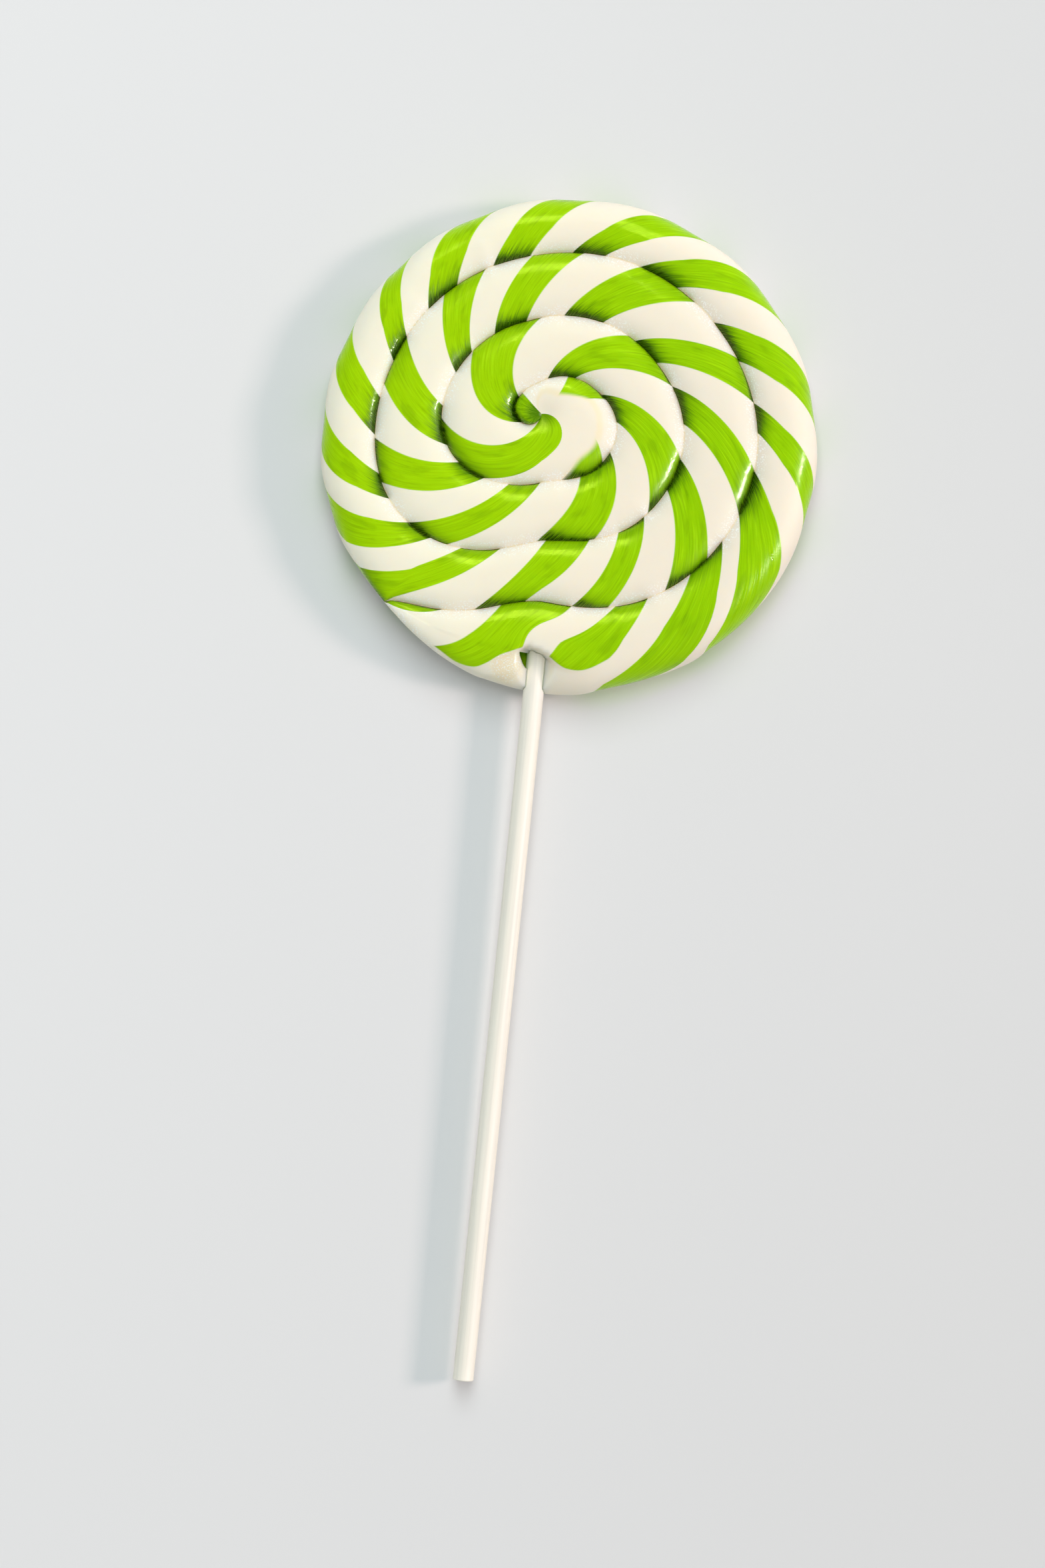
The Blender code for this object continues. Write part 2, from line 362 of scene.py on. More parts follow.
@dataclass(frozen=True)
class CoilPath:
    """How the rope winds: the same rule as the solid's, in degrees and metres.

    Angles run clockwise round the swirl's centre from a zero direction that leans
    a little to the left of +Y. The first turn is a curve of (angle, outer edge). A swell
    is (middle, spread, added width), and a dent in the rim is (middle, spread, depth).
    """

    disc_radius: float = DISC_RADIUS
    centre: Pair = (-0.0059, 0.0054)
    zero: float = -PICTURE_LEAN
    start: float = -180.0
    end: float = 1300.0
    rope_width: float = 0.0136
    first_turn: tuple = ((-180, 0.0), (-90, 0.0050), (-30, 0.0056), (0, 0.0063), (60, 0.0110),
                         (100, 0.0147), (135, 0.0147), (165, 0.0131))
    swells: tuple = ((250, 35, 0.0022), (491, 90, 0.0016), (540, 20, -0.0018), (590, 33, 0.0036),
                     (570, 350, -0.0022), (823, 80, 0.0020), (906, 15, -0.0022), (967, 15, 0.0440))
    dents: tuple = ((220, 18, 0.0013), (160, 12, 0.0006))
    groove_fade: float = 70.0
    opening_span: float = 24.0
    closing_span: float = 40.0

    @property
    def outside_start(self) -> float:
        """Return the angle from which the rope's outer edge is the disc's edge."""
        return self.end - 360.0

    def outline(self, angle: float) -> float:
        """Return the distance from the swirl's centre to the edge of the disc.

        Args:
            angle: The direction, in degrees.

        Returns:
            The distance, less the shallow dents in the rim.
        """
        turn = math.radians(angle) + self.zero
        along = -(self.centre[0] * math.sin(turn) + self.centre[1] * math.cos(turn))
        off = self.centre[0] ** 2 + self.centre[1] ** 2
        edge = along + math.sqrt(along ** 2 - off + self.disc_radius ** 2)
        return edge - sum(depth * bell(angle % 360, mid, spread) for mid, spread, depth in self.dents)

    def width(self, angle: float) -> float:
        """Return how wide the rope lies at an angle."""
        return self.rope_width + sum(more * bell(angle, mid, spread) for mid, spread, more in self.swells)

    def groove(self, angle: float) -> float:
        """Return the distance from the swirl's centre to the rope's outer edge.

        Args:
            angle: The angle along the rope, in degrees.

        Returns:
            The distance to the groove there, or to the disc's edge on the last turn.
        """
        if angle >= self.outside_start:
            return self.outline(angle)
        first_end = self.start + 360.0
        if angle < first_end:
            return curve_through(self.first_turn + ((first_end, self.width(first_end)),), angle)
        return min(self.groove(angle - 360.0) + self.width(angle), self.outline(angle))

    def inner(self, angle: float) -> float:
        """Return the distance from the swirl's centre to the rope's inner edge."""
        return self.groove(angle - 360.0) if angle - 360.0 >= self.start else 0.0

    def depth_share(self, angle: float) -> float:
        """Return how much of its full depth the groove on the rope's outer edge has."""
        return ease((angle - self.start) / self.groove_fade)

    def fullness(self, angle: float) -> float:
        """Return how much of the rope's full height is left.

        Args:
            angle: The angle along the rope, in degrees.

        Returns:
            1 along the rope, falling to 0 where its tail runs out.
        """
        width = self.outline(angle) - self.inner(angle)
        share = math.sqrt(min(max(width / self.rope_width, 0.0), 1.0))
        return share if angle > self.outside_start else 1.0

    def openness(self, angle: float) -> float:
        """Return how far the rope's outer edge is open.

        Args:
            angle: The angle along the rope, in degrees.

        Returns:
            0 where the outer edge is a groove and 1 where it is the disc's round side.
        """
        if angle <= self.outside_start:
            return 0.0
        return min(ease((angle - self.outside_start) / self.opening_span),
                   ease((self.end - angle) / self.closing_span))


@dataclass(frozen=True)
class StrandTwist:
    """Where each green strand comes up from a groove and where it goes under again.

    A strand is (rises from, rises to, sinks from, sinks to), in degrees of the swirl:
    the first two at the rope's inner groove, the last two at its outer one. The first
    strand has the first count, and one count is a green strand with the white one
    after it. A nudge is (middle, spread, place, reach, shift): near that middle and that
    place across the skin, the strands lie the shift's degrees further on.
    """

    first_count: int = -4
    strands: tuple = (
        (-260, -200, -240, -180), (-178, -45, -176, -42), (50, 58, 35, 77), (74, 79, 128, 163),
        (82, 202, 222, 268), (248, 308, 313, 360), (370, 403, 408, 438), (432, 456, 468, 493),
        (479, 508, 517, 542), (541, 565, 576, 591), (582, 600, 607, 622), (612, 635, 641, 660),
        (656, 672, 681, 699), (690, 711, 717, 735), (733, 754, 754, 774), (772, 786, 794, 807),
        (798, 814, 825, 837), (828, 841, 851, 865), (855, 867, 881, 891), (879, 898, 905, 919),
        (917, 931, 940, 950), (942, 951, 957, 969), (961, 970, 978, 990), (983, 996, 1002, 1014),
        (1010, 1020, 1029, 1039), (1033, 1047, 1052, 1066), (1062, 1076, 1080, 1093),
        (1091, 1102, 1109, 1123), (1114, 1127, 1134, 1148), (1142, 1155, 1160, 1171),
        (1167, 1175, 1182, 1191), (1185, 1197, 1203, 1224), (1205, 1217, 1229, 1247),
        (1230, 1239, 1253, 1271), (1251, 1272, 1275, 1286), (1287, 1301, 1305, 1318),
        (1330, 1345, 1350, 1365))
    nudges: tuple = ((1260, 8, 0.35, 0.18, 4.2),)
    side_twist: float = 0.45
    back_twist: float = 0.83
    reading_step: float = 0.02
    halvings: int = 30

    def count(self, angle: np.ndarray, across: np.ndarray) -> np.ndarray:
        """Return the strand count at places on the rope's skin.

        Args:
            angle: The swirl angles, in degrees.
            across: The places across the skin: 0 to 1 over the top, 1 to 2 down the
                side, 2 to 3 under the back.

        Returns:
            The count. Its whole part numbers the pair, and a fraction under a half is green.
        """
        inner, outer = [], []
        for up0, up1, down0, down1 in self.strands:
            inner += [up0, up1]
            outer += [down0, down1]
        fine = np.arange(0.0, len(inner) - 1.0, self.reading_step)
        inner, outer = self.smooth(inner, fine), self.smooth(outer, fine)
        counts = self.first_count + fine / 2.0
        top = np.clip(across, 0.0, 1.0)
        for centre, spread, place, reach, shift in self.nudges:
            near = ((angle - centre) / spread) ** 2 + ((across - place) / reach) ** 2
            angle = angle - shift * np.exp(-near)
        low = np.full(angle.shape, counts[0])
        high = np.full(angle.shape, counts[-1])
        for _ in range(self.halvings):
            middle = (low + high) / 2.0
            reached = (1.0 - top) * np.interp(middle, counts, inner) + top * np.interp(middle, counts, outer)
            low = np.where(reached < angle, middle, low)
            high = np.where(reached < angle, high, middle)
        down = np.clip(across - Flank.SIDE.value, 0.0, 1.0) * self.side_twist
        under = np.clip(across - Flank.BACK.value, 0.0, 1.0) * self.back_twist
        return (low + high) / 2.0 - down - under

    @staticmethod
    def smooth(values: list, where: np.ndarray) -> np.ndarray:
        """Read a rising smooth curve through values that stand one apart.

        Args:
            values: The values, each at least the one before.
            where: The places to read, counted from the first value.

        Returns:
            The curve's values there.
        """
        heights = np.array(values, float)
        steps = np.maximum(np.diff(heights), LEAST_STEP)
        slopes = np.empty(len(heights))
        slopes[1:-1] = 2.0 * steps[1:] * steps[:-1] / (steps[1:] + steps[:-1])
        slopes[0], slopes[-1] = steps[0], steps[-1]
        index = np.clip(where.astype(int), 0, len(steps) - 1)
        return cubic(where - index, heights[index], slopes[index], heights[index + 1], slopes[index + 1])


@dataclass(frozen=True)
class Section:
    """The rope's section between two grooves, and the round side of its last turn."""

    thickness: float = 0.0112
    crown_drop: float = 0.00165
    crown_power: float = 3.2
    crease_depth: float = 0.0007
    crease_power: float = 24.0
    back_land: float = 0.5
    back_drop: float = 0.0013
    side_power: float = 2.2
    side_turn: float = math.radians(60.0)
    crown_place: float = 0.45
    pivot_dip: float = 0.0009
    pivot_spread: float = 0.0030
    pivot_size: float = 0.0004
    strand_relief: float = 0.0002


@dataclass(frozen=True)
class Site:
    """What the strand pattern reads at each place on the candy.

    The nearness to a groove is 1 at the groove and 0 out of its reach. The veil is how far
    the place lies inside the edge of the white strand over the others, in millimetres. The
    last two are the offsets from the swirl's centre, in metres.
    """

    count: Wire
    across: Wire
    near_inner: Wire
    near_outer: Wire
    veil: Wire
    east: Wire
    north: Wire

    def grain(self, over_strand: float, along_strand: float, detail: float, shift: float) -> Wire:
        """Draw noise out along the strands.

        Args:
            over_strand: How fine it is from one edge of a strand to the other.
            along_strand: How fine it is along a strand.
            detail: How many finer layers it has.
            shift: Where in the noise it starts.

        Returns:
            The noise.
        """
        tree = self.count.tree
        place = add_node(tree, "ShaderNodeCombineXYZ", {},
                         {0: self.count * over_strand, 1: self.across * along_strand, 2: shift})
        return noise(tree, Wire(tree, place.outputs[0]), 1.0, detail)


@dataclass(frozen=True)
class Band:
    """A band of painted shade on the green beside a groove, with ragged ends. Lengths are in millimetres."""

    reach: float
    lead_reach: float
    ragged: float
    least: float
    edge: Pair

    def over(self, away: Wire, lead: Wire, stroke: Wire, left: "Wire | float" = 1.0) -> Wire:
        """Draw the band.

        Args:
            away: The distance from the groove.
            lead: How near the place is to the strand's leading edge, from 0 to 1.
            stroke: The fine strokes that make its ends ragged.
            left: The share of its reach that the light leaves.

        Returns:
            1 beside the groove, falling to 0 past the band.
        """
        reach = lead * self.lead_reach + self.reach + stroke * self.ragged
        return 1.0 - (away / (reach.math("MAXIMUM", self.least) * left)).ramp(*self.edge)


@dataclass(frozen=True)
class StrandPattern:
    """How the strands are drawn: edges, painted shade in bands beside the grooves, fine lines, and painted
    glints on the white.

    A pair of numbers is where a ramp starts and where it ends, unless its name says a
    strength: then it is a first strength and what is added to it. A grain is its fineness
    across and along a strand, its detail and its shift.
    """

    reach: float = 4.0
    green_edge: Pair = (0.259, 0.241)
    middle_end: float = 1.0
    veiled_before: float = -0.2
    veiled_after: float = 28.6
    veil_edge: Pair = (-0.15, 0.15)
    veil_haze: Pair = (-0.7, 0.7)
    hatch_grain: tuple[float, ...] = (110.0, 2.0, 3.0, 0.0)
    streak_grain: tuple[float, ...] = (46.0, 2.2, 4.0, 7.0)
    broad_grain: tuple[float, ...] = (6.0, 3.0, 2.0, 19.0)
    streak_share: float = 0.75
    stroke: float = 5.0

    # Painted shade beside the grooves: near-black bands that shrink on the sides that face the light, and
    # softer shade round them.
    lit_inner: Pair = (-0.35, -0.90)
    lit_outer: Pair = (-0.45, 0.60)
    low_side: Pair = (-0.2, -0.9)
    low_reach: float = 1.1
    wedge: Band = Band(reach=1.60, lead_reach=-1.10, ragged=1.4, least=0.20, edge=(0.72, 1.05))
    wedge_lit: float = 0.80
    brink: Band = Band(reach=0.30, lead_reach=1.0, ragged=1.5, least=0.08, edge=(0.5, 1.0))
    brink_lit: float = 0.75
    deep_shade_lines: Pair = (0.60, 0.50)
    deep_shade_fill: float = 0.30

    inner_shade: Band = Band(reach=3.3, lead_reach=-0.8, ragged=2.2, least=0.6, edge=(0.20, 1.0))
    inner_strength: Pair = (0.85, -0.45)
    outer_shade: Band = Band(reach=1.5, lead_reach=2.6, ragged=2.2, least=0.4, edge=(0.1, 1.0))
    outer_strength: Pair = (0.75, -0.35)
    shade_lines: Pair = (0.58, 0.42)
    line_strength: Pair = (0.50, 0.55)
    soft_streaks: Pair = (0.48, 0.30)
    soft_hatch: Pair = (0.42, 0.30)
    soft_broad: Pair = (0.46, 0.30)
    streak_shade: float = 0.20
    broad_shade: float = 0.22
    # Painted shade round the swirl's centre and on its first strands.
    pivot_shade: Pair = (0.0042, 0.0008)
    pivot_strength: Pair = (0.45, 0.35)
    centre_shade_before: float = -2.3
    centre_shade_strength: float = 0.5

    # Painted shade in the white: warm in the grooves and along the veil's edge.
    warm_shade_edge: Pair = (0.93, 1.0)
    veil_shade_edge: Pair = (0.1, 1.1)
    veil_shade: float = 0.8
    damp_place: Pair = (-0.0018, -0.0487)
    damp_edge: Pair = (0.0045, 0.0015)
    # Painted glints: bright dots on the white near the grooves, on the damp patch and on a crescent in the
    # middle.
    glint_dot_scale: float = 3300.0
    glint_dot_edge: Pair = (0.58, 0.62)
    glint_dot_reach: Pair = (0.35, 0.80)
    crescent_place: float = -2.4
    crescent_edge: Pair = (1.6, 0.4)

    facet_scale: float = 3100.0
    dry_relief: float = 0.03
    damp_relief: float = 1.2
    facet_relief: float = 0.40
    streak_relief: float = 0.25
    hatch_strength: Pair = (0.20, 0.8)

    def group(self) -> Tree:
        """Build the shader group that draws the strands.

        Returns:
            The group. It reads the skin's strand count and what is kept about the grooves,
            and puts out masks, fine lines and a height.
        """
        tree = bpy.data.node_groups.new("strand_pattern", "ShaderNodeTree")
        for label in ("Skin", "Grooves"):
            tree.interface.new_socket(label, in_out="INPUT", socket_type="NodeSocketVector")
        given = add_node(tree, "NodeGroupInput")
        count, across, _ = Wire(tree, given.outputs["Skin"]).parts()
        spot = object_place(tree)
        x, y, _ = spot.parts()
        site = Site(count, across, *Wire(tree, given.outputs["Grooves"]).parts(),
                    x - CoilPath.centre[0], y - CoilPath.centre[1] - DISC_MIDDLE.y)
        hatch, streaks, broad = (site.grain(*grain) for grain in (
            self.hatch_grain, self.streak_grain, self.broad_grain))

        green = self.green(site)
        depth, shade = self.darks(site, hatch, streaks, broad)
        damp = (site.east - self.damp_place[0]).hypot(site.north - self.damp_place[1]).ramp(*self.damp_edge)
        facets = noise(tree, spot, self.facet_scale, 1.0)
        dry = facets * self.dry_relief + damp * facets * self.damp_relief
        base, more = self.hatch_strength
        glossy = facets * self.facet_relief + streaks * self.streak_relief + hatch * (base + depth * more)
        # The depth and shade outputs are painted shade beside the grooves; the sparkle output is painted
        # glints; the output for the white's warm colour is painted shade in the grooves and along the veil's
        # edge, with the damp patch's own tone.
        drawn = {
            "Green": green, "Shade": shade.math("MINIMUM", 1.0), "Depth": depth,
            "Streaks": streaks * self.streak_share + broad * (1.0 - self.streak_share),
            "Seam": self.warm_shade(site).math("MAXIMUM", damp), "Damp": damp,
            "Sparkle": self.sparkle(site, damp, noise(tree, spot, self.glint_dot_scale, 1.0)),
            "Lines": hatch, "Height": dry.toward(glossy, green),
        }
        for label in drawn:
            tree.interface.new_socket(label, in_out="OUTPUT", socket_type="NodeSocketFloat")
        add_node(tree, "NodeGroupOutput", {}, drawn)
        return tree

    def in_middle(self, site: Site) -> Wire:
        """Return 1 on the first strands, in the middle of the swirl."""
        return site.count.math("LESS_THAN", self.middle_end)

    def green(self, site: Site) -> Wire:
        """Tell the green strands from the white ones.

        Args:
            site: What is known at each place.

        Returns:
            1 on green, and 0 on white and where a white strand lies over the others.
        """
        off = ((site.count + (0.5 - GREEN_MIDDLE)).math("FRACT") - 0.5).math("ABSOLUTE")
        sharp, soft = site.veil.ramp(*self.veil_edge), site.veil.ramp(*self.veil_haze)
        first = site.count.math("LESS_THAN", self.veiled_before)
        last = site.count.math("GREATER_THAN", self.veiled_after)
        veiled = sharp.toward(soft, self.in_middle(site)) * first.math("MAXIMUM", last)
        return off.ramp(*self.green_edge) * (1.0 - veiled)

    def darks(self, site: Site, hatch: Wire, streaks: Wire, broad: Wire) -> tuple[Wire, Wire]:
        """Paint shade in dark bands beside the grooves, narrower on the sides that face the light, with
        darker streaks between them.

        Args:
            site: What is known at each place.
            hatch: The finest grain.
            streaks: The middle grain.
            broad: The broadest grain.

        Returns:
            The near-black painted shade by the grooves, and the softer painted shade round it and at the
            swirl's centre with darker streaks of tone, each from 0 to 1.
        """
        lead = (site.count.math("FRACT") * 2.0).math("MINIMUM", 1.0)
        stroke = (hatch - 0.5) * self.stroke
        to_inner, to_outer = (1.0 - site.near_inner) * self.reach, (1.0 - site.near_outer) * self.reach
        to_pivot = site.east.hypot(site.north)
        high = (site.north - site.east * PICTURE_LEAN) / (to_pivot + MM)
        lit_in, lit_out = high.ramp(*self.lit_inner), high.ramp(*self.lit_outer)

        wedge = self.wedge.over(to_inner, lead, stroke, 1.0 - lit_in * self.wedge_lit)
        late = lead * lead * (high.ramp(*self.low_side) * self.low_reach + 1.0)
        brink = self.brink.over(to_outer, late, stroke, 1.0 - lit_out * self.brink_lit)
        depth = wedge.math("MAXIMUM", brink) * hatch.ramp(*self.deep_shade_lines).toward(1.0, self.deep_shade_fill)

        base, more = self.line_strength
        lines = hatch.ramp(*self.shade_lines) * more + base
        base, more = self.inner_strength
        from_inner = self.inner_shade.over(to_inner, lead, stroke) * (base + lit_in * more)
        base, more = self.outer_strength
        from_outer = self.outer_shade.over(to_outer, lead, stroke) * lines * (base + lit_out * more)
        shade = from_inner.math("MAXIMUM", from_outer) + streaks.ramp(*self.soft_streaks) * self.streak_shade
        shade = shade + hatch.ramp(*self.soft_hatch) * self.streak_shade
        shade = shade + broad.ramp(*self.soft_broad) * self.broad_shade
        base, more = self.pivot_strength
        centre_shade = site.count.math("LESS_THAN", self.centre_shade_before) * lines * self.centre_shade_strength
        centre_shade = to_pivot.ramp(*self.pivot_shade) * (base + lines * more) + centre_shade
        return depth, shade.math("MAXIMUM", centre_shade)

    def warm_shade(self, site: Site) -> Wire:
        """Return 1 where painted shade warms the white: in the grooves and along the veil's edge."""
        groove = site.near_inner.math("MAXIMUM", site.near_outer).ramp(*self.warm_shade_edge)
        veil_shade = (1.0 - site.veil.math("ABSOLUTE").ramp(*self.veil_shade_edge)) * self.in_middle(site)
        return groove.math("MAXIMUM", veil_shade * self.veil_shade)

    def sparkle(self, site: Site, damp: Wire, glint_noise: Wire) -> Wire:
        """Paint glints on the white as bright dots.

        Args:
            site: What is known at each place.
            damp: 1 in the damp patch over the stick.
            glint_noise: The noise that the dots are cut from.

        Returns:
            1 on each painted glint.
        """
        groove = site.near_inner.math("MAXIMUM", site.near_outer).ramp(*self.glint_dot_reach)
        crescent = (site.veil - self.crescent_place).math("ABSOLUTE").ramp(*self.crescent_edge)
        laid = groove.math("MAXIMUM", damp).math("MAXIMUM", crescent * self.in_middle(site))
        return glint_noise.ramp(*self.glint_dot_edge) * laid


@dataclass(frozen=True)
class CandyFinish:
    """Pulled hard candy: translucent green strands and ivory white ones under one gloss."""

    green: Colour = (0.405, 0.700, 0.0005, 1.0)
    # Painted shade across the disc: towards +X the white darkens, and the green darkens with it, partly by a
    # drift of its dye.
    green_dye_and_shade_right: Colour = (0.340, 0.650, 0.0005, 1.0)
    right_side_drift: Pair = (-0.035, 0.035)
    # Pale green along the streaks: in part a tone that varies at random, in part a painted sheen.
    green_pale: Colour = (0.450, 0.770, 0.004, 1.0)
    pale_streaks: Pair = (0.50, 0.68)
    pale_share: float = 0.9
    # Painted shade: the darker green beside the grooves, and the near-black green down in them.
    green_shade: Colour = (0.075, 0.230, 0.0005, 1.0)
    green_deep_shade: Colour = (0.010, 0.044, 0.0003, 1.0)
    white: Colour = (0.960, 0.868, 0.738, 1.0)
    white_shaded_right: Colour = (0.882, 0.810, 0.710, 1.0)
    # Painted shade in the white's grooves and along the veil's edge; also the damp patch's own warmer tone.
    white_warm: Colour = (0.930, 0.810, 0.610, 1.0)
    # Painted glints: the colour of the bright dots on the white.
    glint_dot_white: Colour = (1.0, 0.98, 0.92, 1.0)
    green_roughness: float = 0.055
    white_roughness: float = 0.55
    rough_lines: Pair = (0.47, 0.53)
    line_roughness: float = 0.24
    deep_roughness: float = 0.12
    ripple_roughness: float = 0.02
    damp_gloss: float = 0.85
    ior: float = 1.50
    tint: Colour = (0.85, 1.0, 0.10, 1.0)
    glow: float = 1.0
    glow_reach: float = 0.0034
    glow_colours: Colour = (1.0, 0.9, 0.75)
    relief_depth: float = 0.00004

    def material(self) -> bpy.types.Material:
        """Build the candy's material.

        Returns:
            The material.
        """
        material, tree, shader = new_material("candy_gloss")
        laid = add_node(tree, "ShaderNodeUVMap", {"uv_map": "strands"})
        near = add_node(tree, "ShaderNodeAttribute", {"attribute_name": "grooves"})
        stripes = add_node(tree, "ShaderNodeGroup", {"node_tree": StrandPattern().group()},
                           {"Skin": Wire(tree, laid.outputs["UV"]),
                            "Grooves": Wire(tree, near.outputs["Vector"])})
        drawn = {label: Wire(tree, stripes.outputs[label]) for label in stripes.outputs.keys()}
        x, _, _ = object_place(tree).parts()
        # Painted shade across the disc: darker towards +X, with a drift of dye in the green.
        right_side = x.ramp(*self.right_side_drift)
        green = mix(tree, right_side, self.green, self.green_dye_and_shade_right)
        # Painted sheen in part: pale green along the streaks.
        green = mix(tree, drawn["Streaks"].ramp(*self.pale_streaks) * self.pale_share, green, self.green_pale)
        green = mix(tree, drawn["Shade"], green, self.green_shade)
        green = mix(tree, drawn["Depth"], green, self.green_deep_shade)
        white = mix(tree, right_side, self.white, self.white_shaded_right)
        white = mix(tree, drawn["Seam"], white, self.white_warm)
        white = mix(tree, drawn["Sparkle"], white, self.glint_dot_white)
        dress(tree, shader, {
            "Base Color": mix(tree, drawn["Green"], white, green),
            "Roughness": self.roughness(drawn),
            "IOR": self.ior,
            "Specular Tint": self.tint,
            "Subsurface Weight": self.glow,
            "Subsurface Radius": self.glow_colours,
            "Subsurface Scale": self.glow_reach,
            "Normal": relief(tree, 1.0, self.relief_depth, drawn["Height"]),
        })
        return material

    def roughness(self, drawn: dict[str, Wire]) -> Wire:
        """Work out how rough the candy is.

        Args:
            drawn: What the strand pattern puts out, by name.

        Returns:
            The roughness: dry on white, glossy where it is damp, and lined on green.
        """
        wet = drawn["Damp"] * self.damp_gloss
        white = self.white_roughness - wet * (self.white_roughness - self.green_roughness)
        green = drawn["Lines"].ramp(*self.rough_lines) * self.line_roughness + self.green_roughness
        rough = white.toward(green, drawn["Green"])
        rough = rough + drawn["Depth"] * drawn["Green"] * self.deep_roughness
        return rough + (drawn["Streaks"] - 0.5) * self.ripple_roughness


@dataclass(frozen=True)
class PaperFinish:
    """Rolled white paper: satin, warm, with faint lines along the roll."""

    paper: Colour = (0.960, 0.910, 0.805, 1.0)
    shaded: Colour = (0.880, 0.835, 0.745, 1.0)
    shaded_lines: Pair = (0.35, 0.75)
    line_scale: tuple[float, float, float] = (1800.0, 25.0, 1800.0)
    line_detail: float = 3.0
    roughness: float = 0.50
    line_roughness: float = 0.2
    gloss: float = 0.25
    tint: Colour = (1.0, 1.0, 0.20, 1.0)
    relief_strength: float = 0.15
    relief_depth: float = 0.0001

    def material(self) -> bpy.types.Material:
        """Build the stick's material.

        Returns:
            The material.
        """
        material, tree, shader = new_material("stick_paper")
        along = add_node(tree, "ShaderNodeMapping", {},
                         {"Vector": object_place(tree), "Scale": self.line_scale})
        lines = noise(tree, Wire(tree, along.outputs["Vector"]), 1.0, self.line_detail)
        dress(tree, shader, {
            "Base Color": mix(tree, lines.ramp(*self.shaded_lines), self.paper, self.shaded),
            "Roughness": self.roughness + (lines - 0.5) * self.line_roughness,
            "Specular IOR Level": self.gloss,
            "Specular Tint": self.tint,
            "Normal": relief(tree, self.relief_strength, self.relief_depth, lines),
        })
        return material


@dataclass(frozen=True)
class TableFinish:
    """The pale plain surface under the lollipop, with painted light: darker on one side, and green light from
    the candy painted beside it.
    """

    # Painted light: the table darkens from one side to the other.
    left: Colour = (0.870, 0.866, 0.866, 1.0)
    right: Colour = (0.665, 0.672, 0.672, 1.0)
    reach: float = 0.20
    slant: float = 0.35
    cloud_scale: float = 4.0
    cloud_drift: float = 0.06
    # Painted light: the green that the candy throws onto the table beside it.
    bounce_green: Colour = (0.700, 0.790, 0.620, 1.0)
    bounce_toward: Pair = (0.62, -0.785)
    bounce_spread: Pair = (0.75, 0.98)
    bounce_reach: float = 0.0515
    roughness: float = 0.55

    def material(self) -> bpy.types.Material:
        """Build the table's material.

        Returns:
            The material.
        """
        material, tree, shader = new_material("table_top")
        place = object_place(tree)
        east, y, _ = place.parts()
        cloud = noise(tree, place, self.cloud_scale, 1.0)
        across = east + y * self.slant + (cloud - 0.5) * self.cloud_drift
        plain = mix(tree, across.ramp(-self.reach, self.reach, smooth=False), self.left, self.right)
        north = y - DISC_MIDDLE.y
        away = east.hypot(north)
        facing = (east * self.bounce_toward[0] + north * self.bounce_toward[1]) / (away + MM)
        # Painted light: green from the candy, painted onto the table beside it on one side.
        share = away.ramp(self.bounce_reach, DISC_RADIUS) * facing.ramp(*self.bounce_spread)
        dress(tree, shader, {
            "Base Color": mix(tree, share, plain, self.bounce_green),
            "Roughness": self.roughness,
            "Specular IOR Level": 0.0,
        })
        return material


